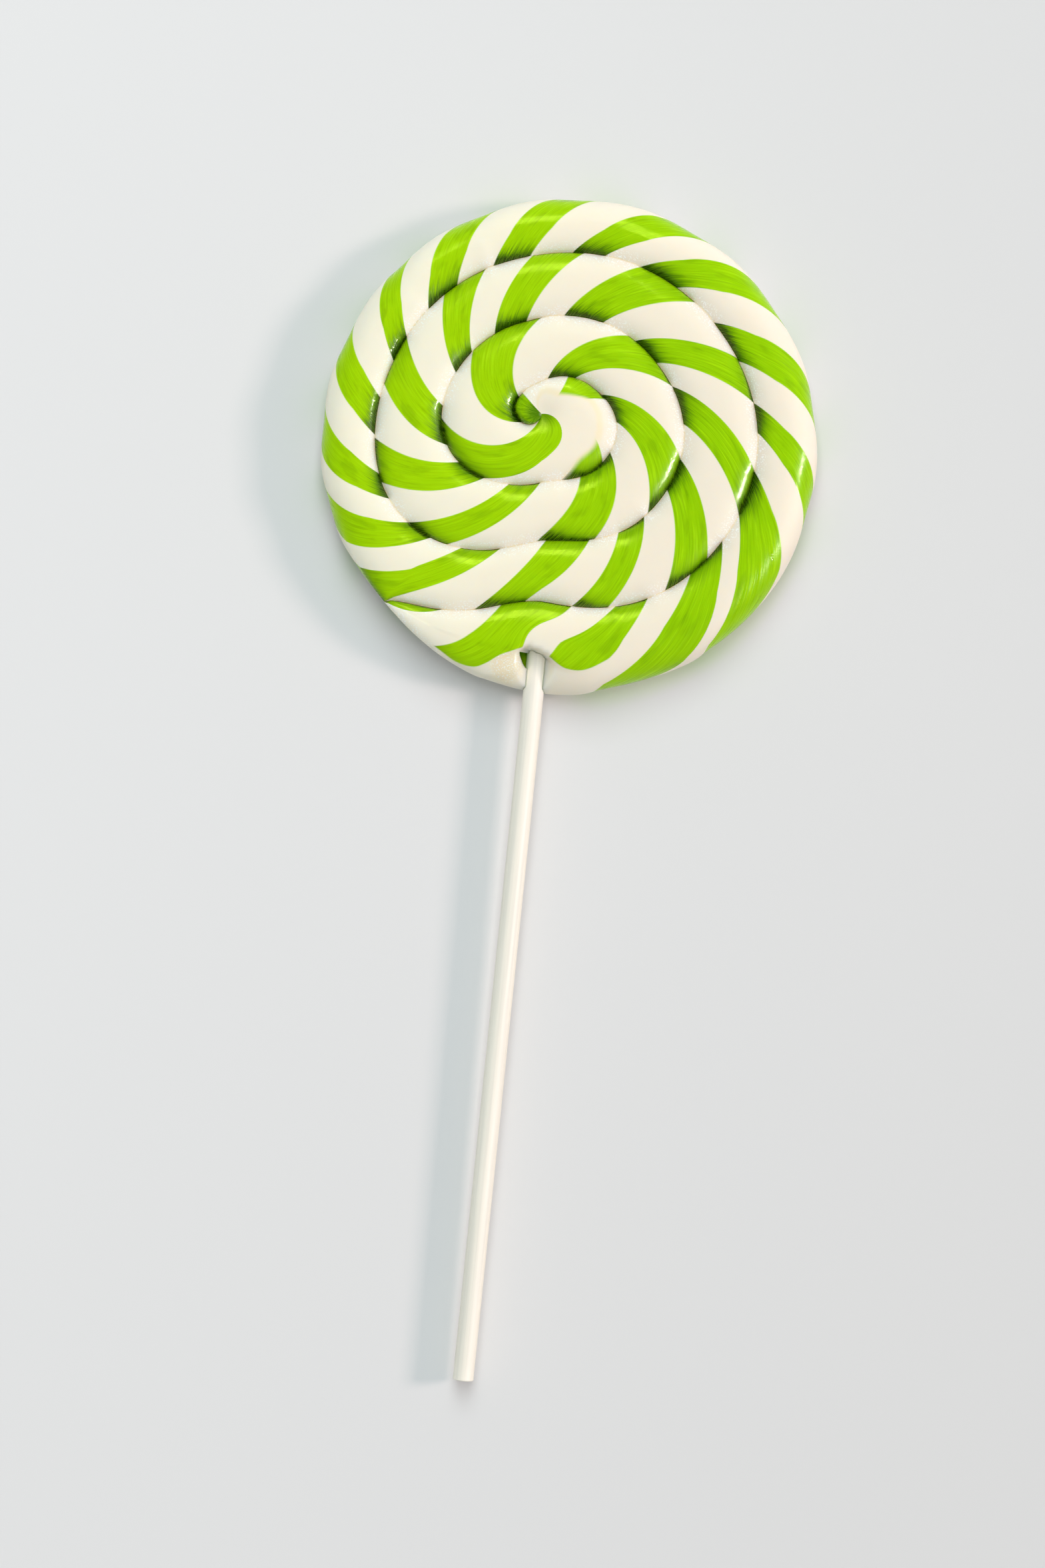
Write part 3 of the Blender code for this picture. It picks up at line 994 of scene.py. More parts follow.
@dataclass
class Coil:
    """The coiled rope: a flat skin wound into the disc by a node tree, with the hollow for the stick.

    A step is (from, step), in degrees. The two edges are curves of (angle, distance from the
    swirl's centre): the rim's by the stick, and the veil's in the middle of the swirl.
    """

    path: CoilPath = field(default_factory=CoilPath)
    twist: StrandTwist = field(default_factory=StrandTwist)
    section: Section = field(default_factory=Section)
    steps: tuple = ((-180, 2.0), (300, 1.0), (1238, 0.5), (1290, 1.0))
    top_rows: int = 40
    side_rows: int = 12
    back_rows: int = 12
    groove_reach: float = 0.0040
    clearance: float = 0.01
    weld: float = 0.00001
    fan_start: float = 180.0
    fan_end: float = 300.0
    split_slope: float = 1.5
    white_crease: float = 0.05
    white_drop: float = 0.80
    crown_relief: float = 0.3
    inner_fade: Pair = (0.0, 0.3)
    outer_fade: Pair = (0.7, 1.0)
    side_fade: Pair = (0.55, 1.0)
    ledge_start: float = 1200.0
    ledge_depth: float = 0.0013
    ledge_width: float = 0.0060
    ledge_slope: Pair = (-0.0003, 0.0007)
    bed_height: float = 0.0060
    bed_curve: float = 275.0
    bed_blend: float = 0.0008
    rim_edge: tuple = ((1234, 0.0560), (1241, 0.0478), (1245, 0.0487), (1250.6, 0.0497), (1254.5, 0.0490),
                       (1256.5, 0.0478), (1258.4, 0.0463), (1260, 0.0456), (1263.6, 0.0446),
                       (1265.4, 0.0451), (1267.1, 0.0457), (1269.9, 0.0469), (1272.8, 0.0490),
                       (1275, 0.0501), (1279, 0.0502), (1283, 0.0493), (1290, 0.0480), (1300, 0.0470))
    veil_split: float = 180.0
    veil_edge: tuple = ((-40, 0.0), (0, 0.0040), (42, 0.0051), (60, 0.0070), (77, 0.0099), (118, 0.0119),
                        (140, 0.0115), (155, 0.0125), (163, 0.0133), (175, 0.0160))

    def rows(self) -> np.ndarray:
        """Place the skin's rows.

        Returns:
            Their places across the skin, closest together beside the grooves.
        """
        even = np.linspace(Flank.TOP.value, Flank.SIDE.value, self.top_rows + 1)
        top = 0.5 * even + 0.25 - 0.25 * np.cos(even * math.pi)
        side = np.linspace(Flank.SIDE.value, Flank.BACK.value, self.side_rows + 1)[1:]
        back = 0.5 - 0.5 * np.cos(np.linspace(0.0, math.pi, self.back_rows + 1))
        return np.concatenate([top, side, Flank.BACK.value + back[1:]])

    def stations(self) -> np.ndarray:
        """Return the angles of the skin's stations, closest together beside the stick."""
        ends = [start for start, _ in self.steps[1:]] + [self.path.end + self.clearance]
        return np.concatenate([np.arange(start, end, step) for (start, step), end in zip(self.steps, ends)])

    def splits(self, angles: np.ndarray) -> np.ndarray:
        """Tell how open the groove on the rope's outer edge is.

        Args:
            angles: The angles along the rope, in degrees.

        Returns:
            0 where white is fused to white, and 1 where a green strand meets the groove.
        """
        greens = []
        for count in (self.twist.count(angles, np.ones_like(angles)),
                      self.twist.count(angles + 360.0, np.zeros_like(angles))):
            wave = np.cos(2.0 * math.pi * (count - GREEN_MIDDLE))
            greens.append(np.clip(0.5 + self.split_slope * wave, 0.0, 1.0))
        return np.maximum(*greens)

    def meeting(self, angles: np.ndarray) -> list[np.ndarray]:
        """Find where the next turn's stations meet the groove between this turn's own.

        Args:
            angles: The angles of all stations, in degrees.

        Returns:
            For each step of the rope, the angles inside it at which the next turn has a station.
        """
        next_turn = angles - 360.0
        return [next_turn[(next_turn > start + self.clearance) & (next_turn < end - self.clearance)]
                for start, end in zip(angles, angles[1:])]

    def known(self, angle: np.ndarray, across: np.ndarray) -> dict[str, np.ndarray]:
        """Work out what the winding needs to know at each point of the skin.

        Args:
            angle: The points' angles along the rope, in degrees.
            across: Their places across the skin.

        Returns:
            The values, by name.
        """
        places, back = np.unique(angle, return_inverse=True)
        full = np.array([self.path.fullness(float(a)) for a in places])
        own_split, inner_split = self.splits(places), self.splits(places - 360.0)
        return {
            "angle": angle,
            "across": across,
            "inner": self.spread(self.path.inner, places, back),
            "outer": self.spread(self.path.groove, places, back),
            "inner_share": self.spread(lambda a: self.path.depth_share(a - 360.0), places, back),
            "outer_share": self.spread(self.path.depth_share, places, back),
            "inner_split": inner_split[back],
            "outer_split": (inner_split + (own_split - inner_split) * full)[back],
            "opened": self.spread(self.path.openness, places, back),
            "full": full[back],
            "fan": self.spread(lambda a: ease((a - self.fan_start) / (self.fan_end - self.fan_start)),
                               places, back),
            "veil": self.spread(self.veil, places, back),
            "veil_side": self.spread(lambda a: 1.0 if a < self.veil_split else -1.0, places, back),
            "count": self.twist.count(angle, across),
        }

    def skin(self) -> Thing:
        """Lay the skin out flat, with the stations of both turns at every groove.

        Returns:
            The skin, with what the winding needs to know kept at each point.
        """
        rows, angles = self.rows(), self.stations()
        wide, met = len(rows), self.meeting(angles)
        extra = np.concatenate(met)
        angle = np.concatenate([np.repeat(angles, wide), extra, extra])
        across = np.concatenate([np.tile(rows, len(angles)), np.full_like(extra, Flank.SIDE.value),
                                 np.full_like(extra, Flank.BACK.value)])
        faces, spare = [], len(angles) * wide
        top_edge, back_edge = self.top_rows, self.top_rows + self.side_rows
        for column in range(len(angles) - 1):
            between = [spare + step for step in range(len(met[column]))]
            spare += len(between)
            for row in range(wide - 1):
                first = column * wide + row
                under = [step + len(extra) for step in between] if row == back_edge else []
                over = between[::-1] if row == top_edge - 1 else []
                faces.append([first, *under, first + wide, first + wide + 1, *over, first + 1])
        flat = np.stack([angle * MM, across * MM, np.zeros_like(angle)], axis=1)
        skin = new_object("rope_skin", flat.tolist(), faces)
        for name, values in self.known(angle, across).items():
            stored = skin.data.attributes.new(name, "FLOAT", "POINT")
            stored.data.foreach_set("value", values.astype(np.float32))
        return skin

    def veil(self, angle: float) -> float:
        """Find the edge of the white strand that lies over the stripes.

        Args:
            angle: The angle along the rope, in degrees.

        Returns:
            Its distance from the swirl's centre. The strand lies inside it in the middle of
            the swirl, and outside it by the stick.
        """
        if angle < self.veil_split:
            return curve_through(self.veil_edge, angle)
        return curve_through(self.rim_edge, angle) if angle > self.rim_edge[0][0] else 1.0

    @staticmethod
    def spread(rule: Callable[[float], float], places: np.ndarray, back: np.ndarray) -> np.ndarray:
        """Return a rule's value at each point, worked out once for each angle."""
        return np.array([rule(float(a)) for a in places])[back]

    def sizes(self, hollow: "Hollow") -> dict[str, float]:
        """Name the sizes that the winding takes.

        Args:
            hollow: The stick's place.

        Returns:
            The sizes, by the names of the tree's inputs.
        """
        shape = self.section
        return {
            "Thickness": shape.thickness, "Crown Drop": shape.crown_drop, "Crown Power": shape.crown_power,
            "Crease Depth": shape.crease_depth, "Crease Power": shape.crease_power,
            "White Crease": self.white_crease, "White Drop": self.white_drop,
            "Crown Relief": self.crown_relief, "Strand Relief": shape.strand_relief,
            "Back Land": shape.back_land, "Back Drop": shape.back_drop, "Side Power": shape.side_power,
            "Side Turn": shape.side_turn, "Crown Place": shape.crown_place,
            "Pivot Dip": shape.pivot_dip, "Pivot Spread": shape.pivot_spread,
            "Pivot Size": shape.pivot_size, "Groove Reach": self.groove_reach,
            "Outside Start": self.path.outside_start, "Zero": self.path.zero,
            "Ledge Start": self.ledge_start, "Ledge Depth": self.ledge_depth,
            "Ledge Width": self.ledge_width, "Bed Height": self.bed_height,
            "Bed Curve": self.bed_curve, "Bed Blend": self.bed_blend, "Stick X": hollow.stick.x,
            "Centre X": self.path.centre[0] + DISC_MIDDLE.x, "Centre Y": self.path.centre[1] + DISC_MIDDLE.y,
            "Weld": self.weld,
        }

    def build(self, finish: bpy.types.Material, hollow: "Hollow") -> Thing:
        """Wind the coil.

        Args:
            finish: The candy's material.
            hollow: The cutters for the stick's place.

        Returns:
            The coil, as a plain mesh.
        """
        sizes = self.sizes(hollow)
        tree = Winding(self, sizes).build()
        values = {**sizes, "Rim Slot": hollow.rim(), "Stick Hole": hollow.hole(), "Finish": finish}
        return plain_mesh(self.skin(), tree, values, "candy_coil")


class Winding:
    """The node tree that winds the flat skin into the coil."""

    def __init__(self, coil: Coil, sizes: dict[str, float]) -> None:
        """Start the tree, and work out where each point of the skin lies across the rope.

        Args:
            coil: The coil that is wound.
            sizes: Its sizes, by the names of the tree's inputs.
        """
        self.coil = coil
        self.tree = bpy.data.node_groups.new("wind_the_rope", "GeometryNodeTree")
        sockets = [("Geometry", "Geometry"), *((name, "Float") for name in sizes),
                   ("Rim Slot", "Object"), ("Stick Hole", "Object"), ("Finish", "Material")]
        for name, kind in sockets:
            self.tree.interface.new_socket(name, in_out="INPUT", socket_type=f"NodeSocket{kind}")
        self.tree.interface.new_socket("Geometry", in_out="OUTPUT", socket_type="NodeSocketGeometry")
        given = add_node(self.tree, "NodeGroupInput")
        self.size = {name: Wire(self.tree, given.outputs[name]) for name, _ in sockets}

        across, side, back = self.kept("across"), Flank.SIDE.value, Flank.BACK.value
        self.on_top = across.math("LESS_THAN", side + SLIVER)
        self.on_side = across.math("GREATER_THAN", side) * across.math("LESS_THAN", back)
        self.on_back = across.math("GREATER_THAN", back - SLIVER)
        self.down = (across - side).math("MAXIMUM", 0.0).math("MINIMUM", 1.0)
        self.place = across.math("MINIMUM", side) - (across - back).math("MAXIMUM", 0.0)
        self.inner, self.outer, self.opened = self.kept("inner"), self.kept("outer"), self.kept("opened")
        self.width = self.outer - self.inner

    def kept(self, name: str) -> Wire:
        """Return a value kept at each point of the skin."""
        node = add_node(self.tree, "GeometryNodeInputNamedAttribute", {"data_type": "FLOAT"}, {"Name": name})
        return Wire(self.tree, node.outputs["Attribute"])

    def raised(self) -> Wire:
        """Raise the white strands and lower the green ones.

        Returns:
            How far the skin stands out at each point.
        """
        place, coil = self.place, self.coil
        fade = (place * math.pi).math("SINE") * self.kept("fan")
        fade_open = place.ramp(*coil.inner_fade).toward(place.ramp(*coil.outer_fade), self.on_back)
        fade = (fade * (1.0 - self.on_back)).toward(fade_open, self.opened)
        fade = fade * self.size["Crown Relief"].toward(1.0, place.ramp(*coil.side_fade) * self.opened)
        wave = ((self.kept("count") - GREEN_MIDDLE) * (2.0 * math.pi)).math("COSINE")
        return wave * fade * self.size["Strand Relief"] * -1.0

    def between_grooves(self, radius: Wire) -> tuple[Wire, Wire]:
        """Shape the rope between two grooves, with its crown, creases and pressed back.

        Args:
            radius: The distance from the swirl's centre.

        Returns:
            The height of the rope's own edge, and the height of the skin.
        """
        size = self.size
        off = self.place * 2.0 - 1.0
        outward, aside = off.math("GREATER_THAN", 0.0), off.math("ABSOLUTE")
        share = self.kept("inner_share").toward(self.kept("outer_share"), outward)
        split = self.kept("inner_split").toward(self.kept("outer_split"), outward)
        crease = size["Crease Depth"] * size["White Crease"].toward(1.0, split)
        crown_drop = size["Crown Drop"] * size["White Drop"].toward(1.0, split)
        drop = crown_drop * aside ** size["Crown Power"] + crease * aside ** size["Crease Power"]
        reach = radius / size["Pivot Spread"]
        dip = (reach * reach * -1.0).math("EXPONENT") * size["Pivot Dip"]
        top = size["Thickness"] - drop * share - dip
        rise = (aside - size["Back Land"]).math("MAXIMUM", 0.0) / (1.0 - size["Back Land"])
        edge = (size["Thickness"] - crown_drop - crease).toward(size["Back Drop"], self.down)
        return edge, top.toward(edge, self.on_side).toward(rise * size["Back Drop"] * share, self.on_back)

    def round_side(self) -> tuple[Wire, Wire, Wire, Wire]:
        """Shape the round side of the last turn.

        Returns:
            Its radius and height, and how far the skin faces outwards and upwards there.
        """
        size, side_turn = self.size, self.size["Side Turn"]
        crown_at = self.inner + self.width * size["Crown Place"]
        past = (self.place - size["Crown Place"]).math("MAXIMUM", 0.0) / (1.0 - size["Crown Place"])
        on_wall = side_turn + self.down * (math.pi - side_turn * 2.0)
        turn = (side_turn * past).toward(on_wall, self.down.math("GREATER_THAN", 0.0))
        turn = turn.toward(math.pi - side_turn * past, self.on_back)
        power, middle = 2.0 / size["Side Power"], size["Thickness"] * 0.5
        lean, lift = turn.math("SINE"), turn.math("COSINE")
        radius = crown_at + (self.outer - crown_at) * lean.math("MAXIMUM", 0.0) ** power
        height = middle + middle * lift.math("SIGN") * lift.math("ABSOLUTE") ** power
        return radius, height, lean, lift

    def section(self) -> tuple[Wire, Wire]:
        """Shape the whole rope.

        Returns:
            The distance from the swirl's centre, closed up at the pivot, and the height.
        """
        size = self.size
        radius, raised = self.inner + self.width * self.place, self.raised()
        edge, grooved = self.between_grooves(radius)
        round_radius, round_height, lean, lift = self.round_side()
        is_round = self.place.math("GREATER_THAN", size["Crown Place"]) * self.opened
        radius = radius.toward(round_radius, is_round) + raised * lean * is_round
        height = grooved.toward(round_height, is_round)
        height = edge + (height - edge) * self.kept("full")
        height = height + raised * lift.toward(1.0, 1.0 - is_round) * (1.0 - self.on_back)
        at_pivot = radius.math("LESS_THAN", size["Pivot Size"])
        pivot_height = (size["Thickness"] - size["Pivot Dip"]) * (1.0 - self.on_back)
        return radius * (1.0 - at_pivot), height.toward(pivot_height, at_pivot)

    def wound(self, radius: Wire, height: Wire) -> Wire:
        """Wind the rope, and lay a ledge and a bed for the stick in its last turn.

        Args:
            radius: The distance from the swirl's centre.
            height: The height of the skin.

        Returns:
            The place of each point.
        """
        size = self.size
        angle = self.kept("angle").math("RADIANS") + size["Zero"]
        x = size["Centre X"] + radius * angle.math("SINE")
        y = size["Centre Y"] + radius * angle.math("COSINE")
        aside = x - size["Stick X"]
        spread = aside / size["Ledge Width"]
        ledge = height - (spread * spread * -1.0).math("EXPONENT") * size["Ledge Depth"]
        bed = size["Bed Height"] + size["Bed Curve"] * aside * aside
        by_stick = self.kept("angle").math("GREATER_THAN", size["Ledge Start"])
        outside = (radius - self.kept("veil")).ramp(*self.coil.ledge_slope) * by_stick
        outside = outside * (1.0 - self.on_back) * (1.0 - self.down)
        height = height.toward(ledge.math("SMOOTH_MIN", bed, size["Bed Blend"]), outside)
        point = add_node(self.tree, "ShaderNodeCombineXYZ", {}, {"X": x, "Y": y, "Z": height})
        return Wire(self.tree, point.outputs[0])

    def marked(self, radius: Wire) -> Wire:
        """Keep on the skin what its material reads.

        Args:
            radius: The distance from the swirl's centre.

        Returns:
            The skin with the strand count, and with how near each groove and the veil's edge are.
        """
        reach = self.size["Groove Reach"]
        near_inner = (1.0 - self.place * self.width / reach).math("MAXIMUM", 0.0) * self.kept("inner_share")
        near_outer = (1.0 - (1.0 - self.place) * self.width / reach).math("MAXIMUM", 0.0)
        near_outer = near_outer * self.kept("outer_share") * (1.0 - self.opened)
        veil = (self.kept("veil") - radius) * self.kept("veil_side") * (1.0 / MM)
        body = store_corners(self.tree, self.size["Geometry"], "strands", "FLOAT2",
                             (self.kept("count"), self.kept("across"), 0.0))
        return store_corners(self.tree, body, "grooves", "FLOAT_VECTOR",
                             (near_inner * self.on_top, near_outer * self.on_top, veil))

    def closed(self, skin: Wire) -> Wire:
        """Close the wound skin, cut the stick's place out of it and give it its material.

        Args:
            skin: The wound skin, which still has walls between its fused turns.

        Returns:
            The finished candy.
        """
        tree = self.tree
        walls = self.on_side * self.kept("angle").math("LESS_THAN", self.size["Outside Start"])
        shown = add_node(tree, "GeometryNodeDeleteGeometry", {"domain": "FACE"},
                         {"Geometry": skin, "Selection": walls})
        cut = add_node(tree, "GeometryNodeMergeByDistance", {},
                       {"Geometry": Wire(tree, shown.outputs[0]), "Distance": self.size["Weld"]})
        for name in ("Rim Slot", "Stick Hole"):
            cutter = add_node(tree, "GeometryNodeObjectInfo", {"transform_space": "ORIGINAL"},
                              {"Object": self.size[name]})
            cut = add_node(tree, "GeometryNodeMeshBoolean", {"operation": "DIFFERENCE", "solver": "EXACT"},
                           {"Mesh 1": Wire(tree, cut.outputs[0]),
                            "Mesh 2": Wire(tree, cutter.outputs["Geometry"])})
        smooth = add_node(tree, "GeometryNodeSetShadeSmooth", {}, {"Geometry": Wire(tree, cut.outputs[0])})
        real = add_node(tree, "GeometryNodeRealizeInstances", {}, {"Geometry": Wire(tree, smooth.outputs[0])})
        dressed = add_node(tree, "GeometryNodeSetMaterial", {}, {
            "Geometry": Wire(tree, real.outputs[0]), "Material": self.size["Finish"]})
        return Wire(tree, dressed.outputs[0])

    def build(self) -> Tree:
        """Build the rest of the tree, from the skin's shape to the finished candy.

        Returns:
            The tree.
        """
        radius, height = self.section()
        moved = add_node(self.tree, "GeometryNodeSetPosition", {}, {
            "Geometry": self.marked(radius), "Position": self.wound(radius, height)})
        add_node(self.tree, "NodeGroupOutput", {}, {
            "Geometry": self.closed(Wire(self.tree, moved.outputs[0]))})
        return self.tree


def store_corners(tree: Tree, geometry: Wire, name: str, kind: str, values: tuple) -> Wire:
    """Keep a vector at each face corner, so that it may differ across a groove.

    Args:
        tree: The node tree.
        geometry: The skin.
        name: The attribute's name.
        kind: Its data type.
        values: The vector's X, Y and Z.

    Returns:
        The skin with the attribute.
    """
    vector = add_node(tree, "ShaderNodeCombineXYZ", {}, dict(enumerate(values)))
    node = add_node(tree, "GeometryNodeStoreNamedAttribute", {"data_type": kind, "domain": "CORNER"},
                    {"Geometry": geometry, "Name": name, "Value": Wire(tree, vector.outputs[0])})
    return Wire(tree, node.outputs["Geometry"])


def plain_mesh(base: Thing, tree: Tree, values: dict, name: str) -> Thing:
    """Run a node tree on an object and return the result as a plain mesh object.

    Args:
        base: The object that the tree starts from. It is removed afterwards.
        tree: The geometry node tree.
        values: The value of each named input.
        name: The name of the result.

    Returns:
        The new object, at the origin.
    """
    modifier = base.modifiers.new("shape", "NODES")
    modifier.node_group = tree
    for item in tree.interface.items_tree:
        if item.in_out == "INPUT" and item.name in values:
            modifier[item.identifier] = values[item.name]
    held = base.evaluated_get(bpy.context.evaluated_depsgraph_get())
    mesh = bpy.data.meshes.new_from_object(held)
    base.modifiers.remove(modifier)
    mesh.name = name
    made = bpy.data.objects.new(name, mesh)
    bpy.context.scene.collection.objects.link(made)
    bpy.data.objects.remove(base)
    for value in values.values():
        if isinstance(value, bpy.types.Object):
            bpy.data.objects.remove(value)
    return made


@dataclass(frozen=True)
class StickSizes:
    """The paper stick: the solid's own sizes, in metres."""

    radius: float = 0.0020
    x: float = -0.0020
    tip_y: float = -0.11435
    inner_y: float = 0.04665
    height_at_disc: float = 0.0054
    slope: float = math.radians(0.55)

    def axis(self, y: float) -> Vector:
        """Return the point of the stick's axis at a place along it."""
        rim = DISC_MIDDLE.y - DISC_RADIUS
        return Vector((self.x, y, self.height_at_disc + (y - rim) * math.tan(self.slope)))


@dataclass
class Hollow:
    """The slot in the rim that the stick lies in, and the hole that it goes on into."""

    stick: StickSizes = field(default_factory=StickSizes)
    lip_y: float = -0.0403
    outer_y: float = -0.0560
    floor: float = 0.0048
    sky: float = 0.0150
    room: float = 0.00012
    gap: float = 0.0012
    gap_length: float = 0.0034
    lip_end: float = 1.3
    lip_slope: float = 0.6
    rows: int = 24
    crowding: float = 1.4
    hole_room: float = 0.00006
    hole_outer_y: float = 0.0100
    hole_sides: int = 64
    overlap: float = 0.0001

    def walls(self, y: float) -> tuple[float, float]:
        """Place the slot's walls, which leave a one-sided gap beside the stick.

        Args:
            y: The place along the stick, from the disc's middle.

        Returns:
            Where the left and the right wall stand.
        """
        out = max(self.lip_y - y, 0.0)
        gap = self.gap * ease(1.0 - out / self.gap_length)
        close = self.stick.radius + self.room
        side = close * ease((self.gap_length * self.lip_end - out) / (self.gap_length * self.lip_slope))
        return self.stick.x - side - gap - self.overlap, self.stick.x

    def rim(self) -> Thing:
        """Build the cutter for the slot.

        Returns:
            A closed block round the stick's outer stretch.
        """
        points, faces = [], []
        for k in range(self.rows + 1):
            y = self.lip_y + (self.outer_y - self.lip_y) * (k / self.rows) ** self.crowding
            left, right = self.walls(y)
            for x, z in ((left, self.floor), (right, self.floor), (right, self.sky), (left, self.sky)):
                points.append((DISC_MIDDLE.x + x, DISC_MIDDLE.y + y, z))
        for k in range(self.rows):
            a = k * 4
            for j in range(4):
                b = (j + 1) % 4
                faces.append((a + j, a + b, a + 4 + b, a + 4 + j)[::-1])
        faces.append((0, 1, 2, 3)[::-1])
        faces.append(tuple(range(self.rows * 4, self.rows * 4 + 4)))
        return self.cutter("rim_slot", points, faces)

    def hole(self) -> Thing:
        """Return the cutter for the stick's hole."""
        radius = self.stick.radius + self.hole_room
        ends = (self.stick.inner_y - self.overlap, radius), (self.hole_outer_y, radius)
        return self.cutter("stick_hole", *rod(self.stick, ends, self.hole_sides))

    @staticmethod
    def cutter(name: str, points: list, faces: list) -> Thing:
        """Make a cutter whose cut faces come out green, as painted shade in the narrow gaps beside the stick.

        Args:
            name: Its name.
            points: Its points.
            faces: The point numbers of each face.

        Returns:
            The cutter, hidden from the picture.
        """
        item = new_object(name, points, faces)
        strands = item.data.uv_layers.new(name="strands")
        # Painted shade: the cut faces take the green, which darkens the gaps beside the stick.
        strands.data.foreach_set("uv", [GREEN_MIDDLE, 0.5] * len(item.data.loops))
        item.data.attributes.new("grooves", "FLOAT_VECTOR", "CORNER")
        item.hide_render = True
        return item


def rod(stick: StickSizes, rings: tuple, sides: int) -> tuple[list, list]:
    """Return the points and faces of a closed round rod on the stick's axis.

    Args:
        stick: The stick whose axis it follows.
        rings: The place along the axis and the radius of each ring, from +Y to -Y.
        sides: How many sides the rod has.

    Returns:
        The points and the faces, which point outwards.
    """
    tilt = Matrix.Rotation(stick.slope, 3, "X")
    points, faces = [], []
    for y, radius in rings:
        middle = stick.axis(y)
        for k in range(sides):
            turn = 2.0 * math.pi * k / sides
            round_axis = Vector((radius * math.sin(turn), 0.0, radius * math.cos(turn)))
            points.append(tuple(middle + tilt @ round_axis))
    for ring in range(len(rings) - 1):
        for k in range(sides):
            a, b = ring * sides + k, ring * sides + (k + 1) % sides
            faces.append((a, a + sides, b + sides, b))
    faces.append(tuple(range(sides)))
    faces.append(tuple(range((len(rings) - 1) * sides, len(rings) * sides))[::-1])
    return points, faces


@dataclass
class Stick:
    """The rolled paper stick, with its cut end."""

    sizes: StickSizes = field(default_factory=StickSizes)
    sides: int = 64
    pieces: int = 48
    lip: float = 0.00012
    burr: float = 1.012
    sharp: float = math.radians(40.0)

    def build(self, finish: bpy.types.Material) -> Thing:
        """Build the stick, with softened ends and a slight burr at the cut.

        Args:
            finish: The paper's material.

        Returns:
            The stick, as a plain mesh.
        """
        radius, lip = self.sizes.radius, self.lip
        inner, tip = self.sizes.inner_y, self.sizes.tip_y
        rings = [(inner, radius - lip), (inner - lip, radius)]
        rings += [(inner + (tip - inner) * k / self.pieces, radius) for k in range(1, self.pieces)]
        rings += [(tip + lip * 2.0, radius), (tip + lip, radius * self.burr),
                  (tip, radius - lip * 0.5), (tip + lip * 0.6, radius - lip * 2.0)]
        made = new_object("paper_stick", *rod(self.sizes, tuple(rings), self.sides))
        made.data.materials.append(finish)
        made.data.shade_smooth()
        made.data.set_sharp_from_angle(angle=self.sharp)
        return made


@dataclass(frozen=True)
class Lamp:
    """A flat lamp that faces the lollipop. Its height and turn are angles, in degrees."""

    name: str
    gives: Gives
    power: float
    size: Pair
    height: float
    turn: float
    colour: Colour
    distance: float = 1.5

    def hang(self) -> None:
        """Hang the lamp."""
        data = bpy.data.lights.new(self.name, "AREA")
        data.shape = "RECTANGLE"
        data.energy, data.color = self.power, self.colour
        data.size, data.size_y = self.size
        made = bpy.data.objects.new(self.name, data)
        high, turn = math.radians(self.height), math.radians(self.turn)
        toward = Vector((math.cos(high) * math.cos(turn), math.cos(high) * math.sin(turn), math.sin(high)))
        made.location = toward * self.distance
        made.rotation_euler = (-toward).to_track_quat("-Z", "Y").to_euler()
        made.visible_glossy = self.gives is Gives.GLINTS
        made.visible_diffuse = self.gives is Gives.LIGHT
        made.visible_transmission = self.gives is Gives.LIGHT
        bpy.context.scene.collection.objects.link(made)


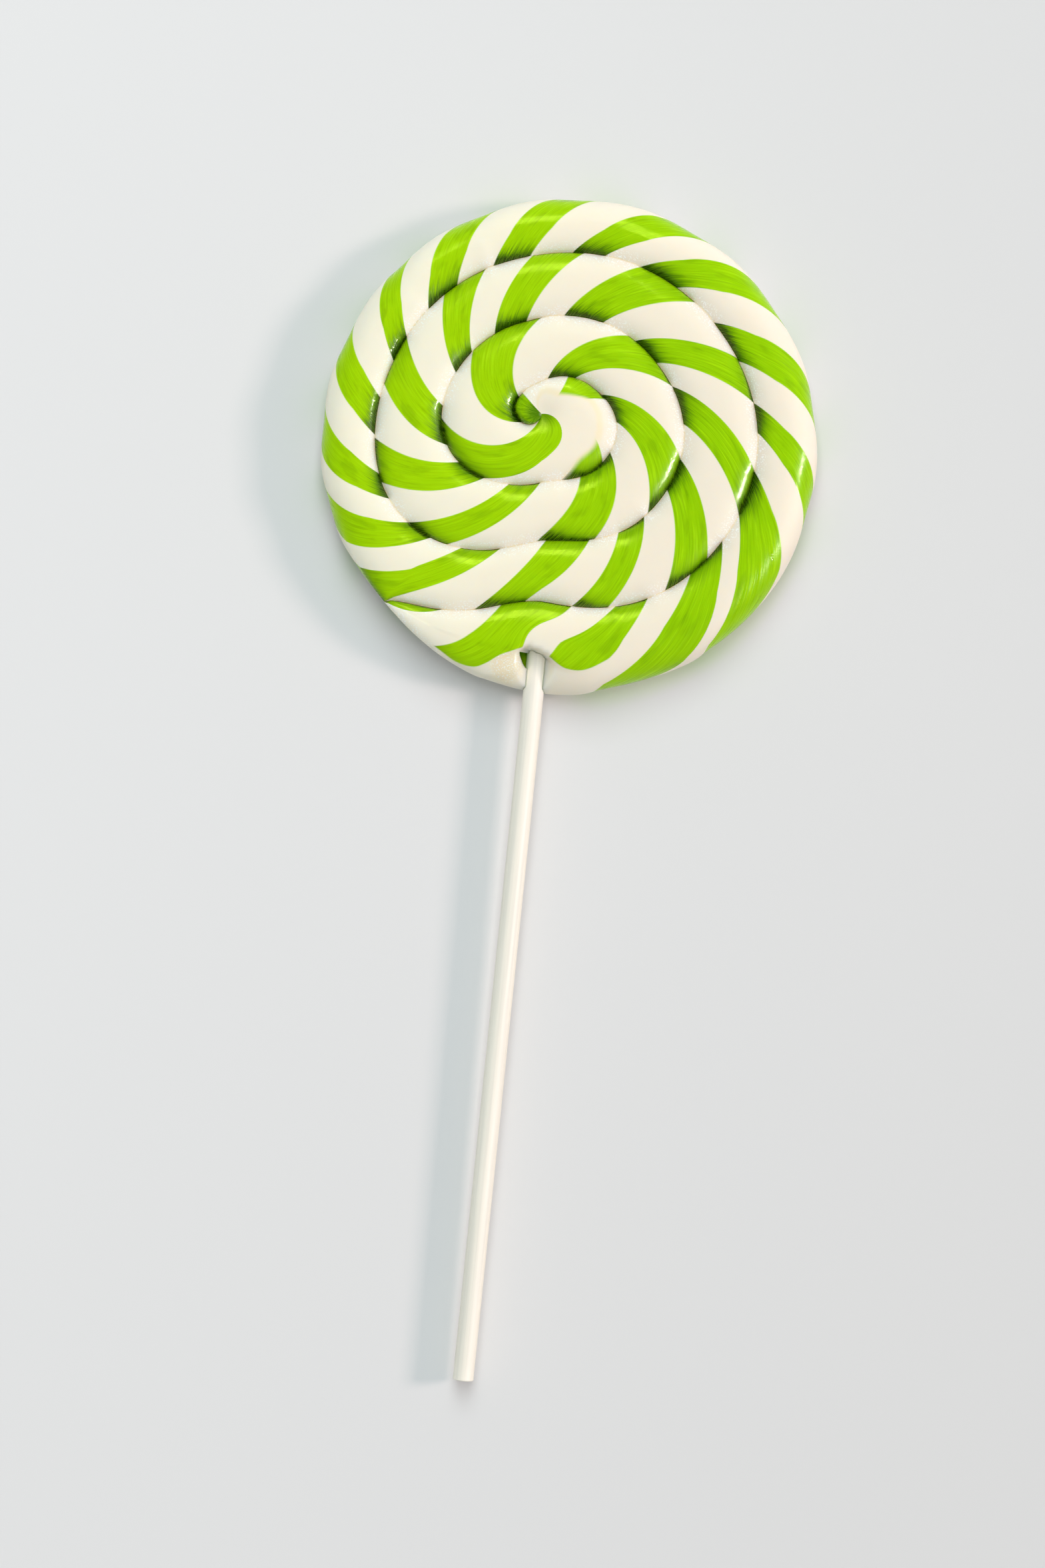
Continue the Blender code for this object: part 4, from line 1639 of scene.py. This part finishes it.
@dataclass(frozen=True)
class Studio:
    """The pale table, the lights and the camera, which looks straight down."""

    view_middle: Pair = (-0.0023, 0.0012)
    camera_height: float = 0.708
    lens: float = 83.7
    film_width: float = 36.0
    table_size: float = 3.0
    room_colour: Colour = (0.92, 0.99, 1.0, 1.0)
    room_light: float = 0.42
    lamps: tuple[Lamp, ...] = (
        Lamp("key", Gives.LIGHT, power=9.2, size=(0.26, 0.26), height=31.5, turn=9.85,
             colour=(1.0, 0.78, 0.73)),
        Lamp("glint", Gives.GLINTS, power=90.0, size=(0.38, 0.15), height=39.0, turn=-2.8,
             colour=(0.20, 0.18, 1.0)),
        Lamp("sheen", Gives.GLINTS, power=7.0, size=(0.60, 0.45), height=53.0, turn=PICTURE_UP,
             colour=(0.95, 1.0, 1.0)),
        Lamp("soft", Gives.LIGHT, power=9.6, size=(0.60, 1.20), height=60.0, turn=PICTURE_UP,
             colour=(0.93, 0.99, 1.0), distance=1.3))

    def table(self, finish: bpy.types.Material) -> None:
        """Lay the table top.

        Args:
            finish: The table's material.
        """
        half = self.table_size / 2.0
        corners = [(-half, -half, 0.0), (half, -half, 0.0), (half, half, 0.0), (-half, half, 0.0)]
        made = new_object("table_top", corners, [(0, 1, 2, 3)])
        made.data.materials.append(finish)

    def lights(self) -> None:
        """Hang the lamps and set the room's own light."""
        for lamp in self.lamps:
            lamp.hang()
        world = bpy.data.worlds.new("room")
        world.use_nodes = True
        dress(world.node_tree, world.node_tree.nodes["Background"],
              {"Color": self.room_colour, "Strength": self.room_light})
        bpy.context.scene.world = world

    def camera(self) -> None:
        """Set up the camera straight above, rolled as the picture leans."""
        data = bpy.data.cameras.new("camera")
        data.lens, data.sensor_width = self.lens, self.film_width
        made = bpy.data.objects.new("camera", data)
        made.location = (*self.view_middle, self.camera_height)
        made.rotation_euler = (0.0, 0.0, PICTURE_LEAN)
        bpy.context.scene.collection.objects.link(made)
        bpy.context.scene.camera = made

    def build(self, finish: bpy.types.Material) -> None:
        """Make the whole studio, with the table in the finish given."""
        self.table(finish)
        self.lights()
        self.camera()
        bpy.context.scene.view_settings.view_transform = "Standard"


def main() -> None:
    """Build the lollipop and the studio."""
    logging.basicConfig(level=logging.INFO, format="%(name)s: %(message)s")
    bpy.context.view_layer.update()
    Studio().build(TableFinish().material())

    candy = Coil().build(CandyFinish().material(), Hollow())
    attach(candy, ROOT_BODY)
    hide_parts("candy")
    log.info("candy_coil: %d faces", len(candy.data.polygons))

    stick = Stick().build(PaperFinish().material())
    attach(stick, ROOT_BODY)
    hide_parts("stick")
    log.info("paper_stick: %d faces", len(stick.data.polygons))


if __name__ == "__main__":
    main()
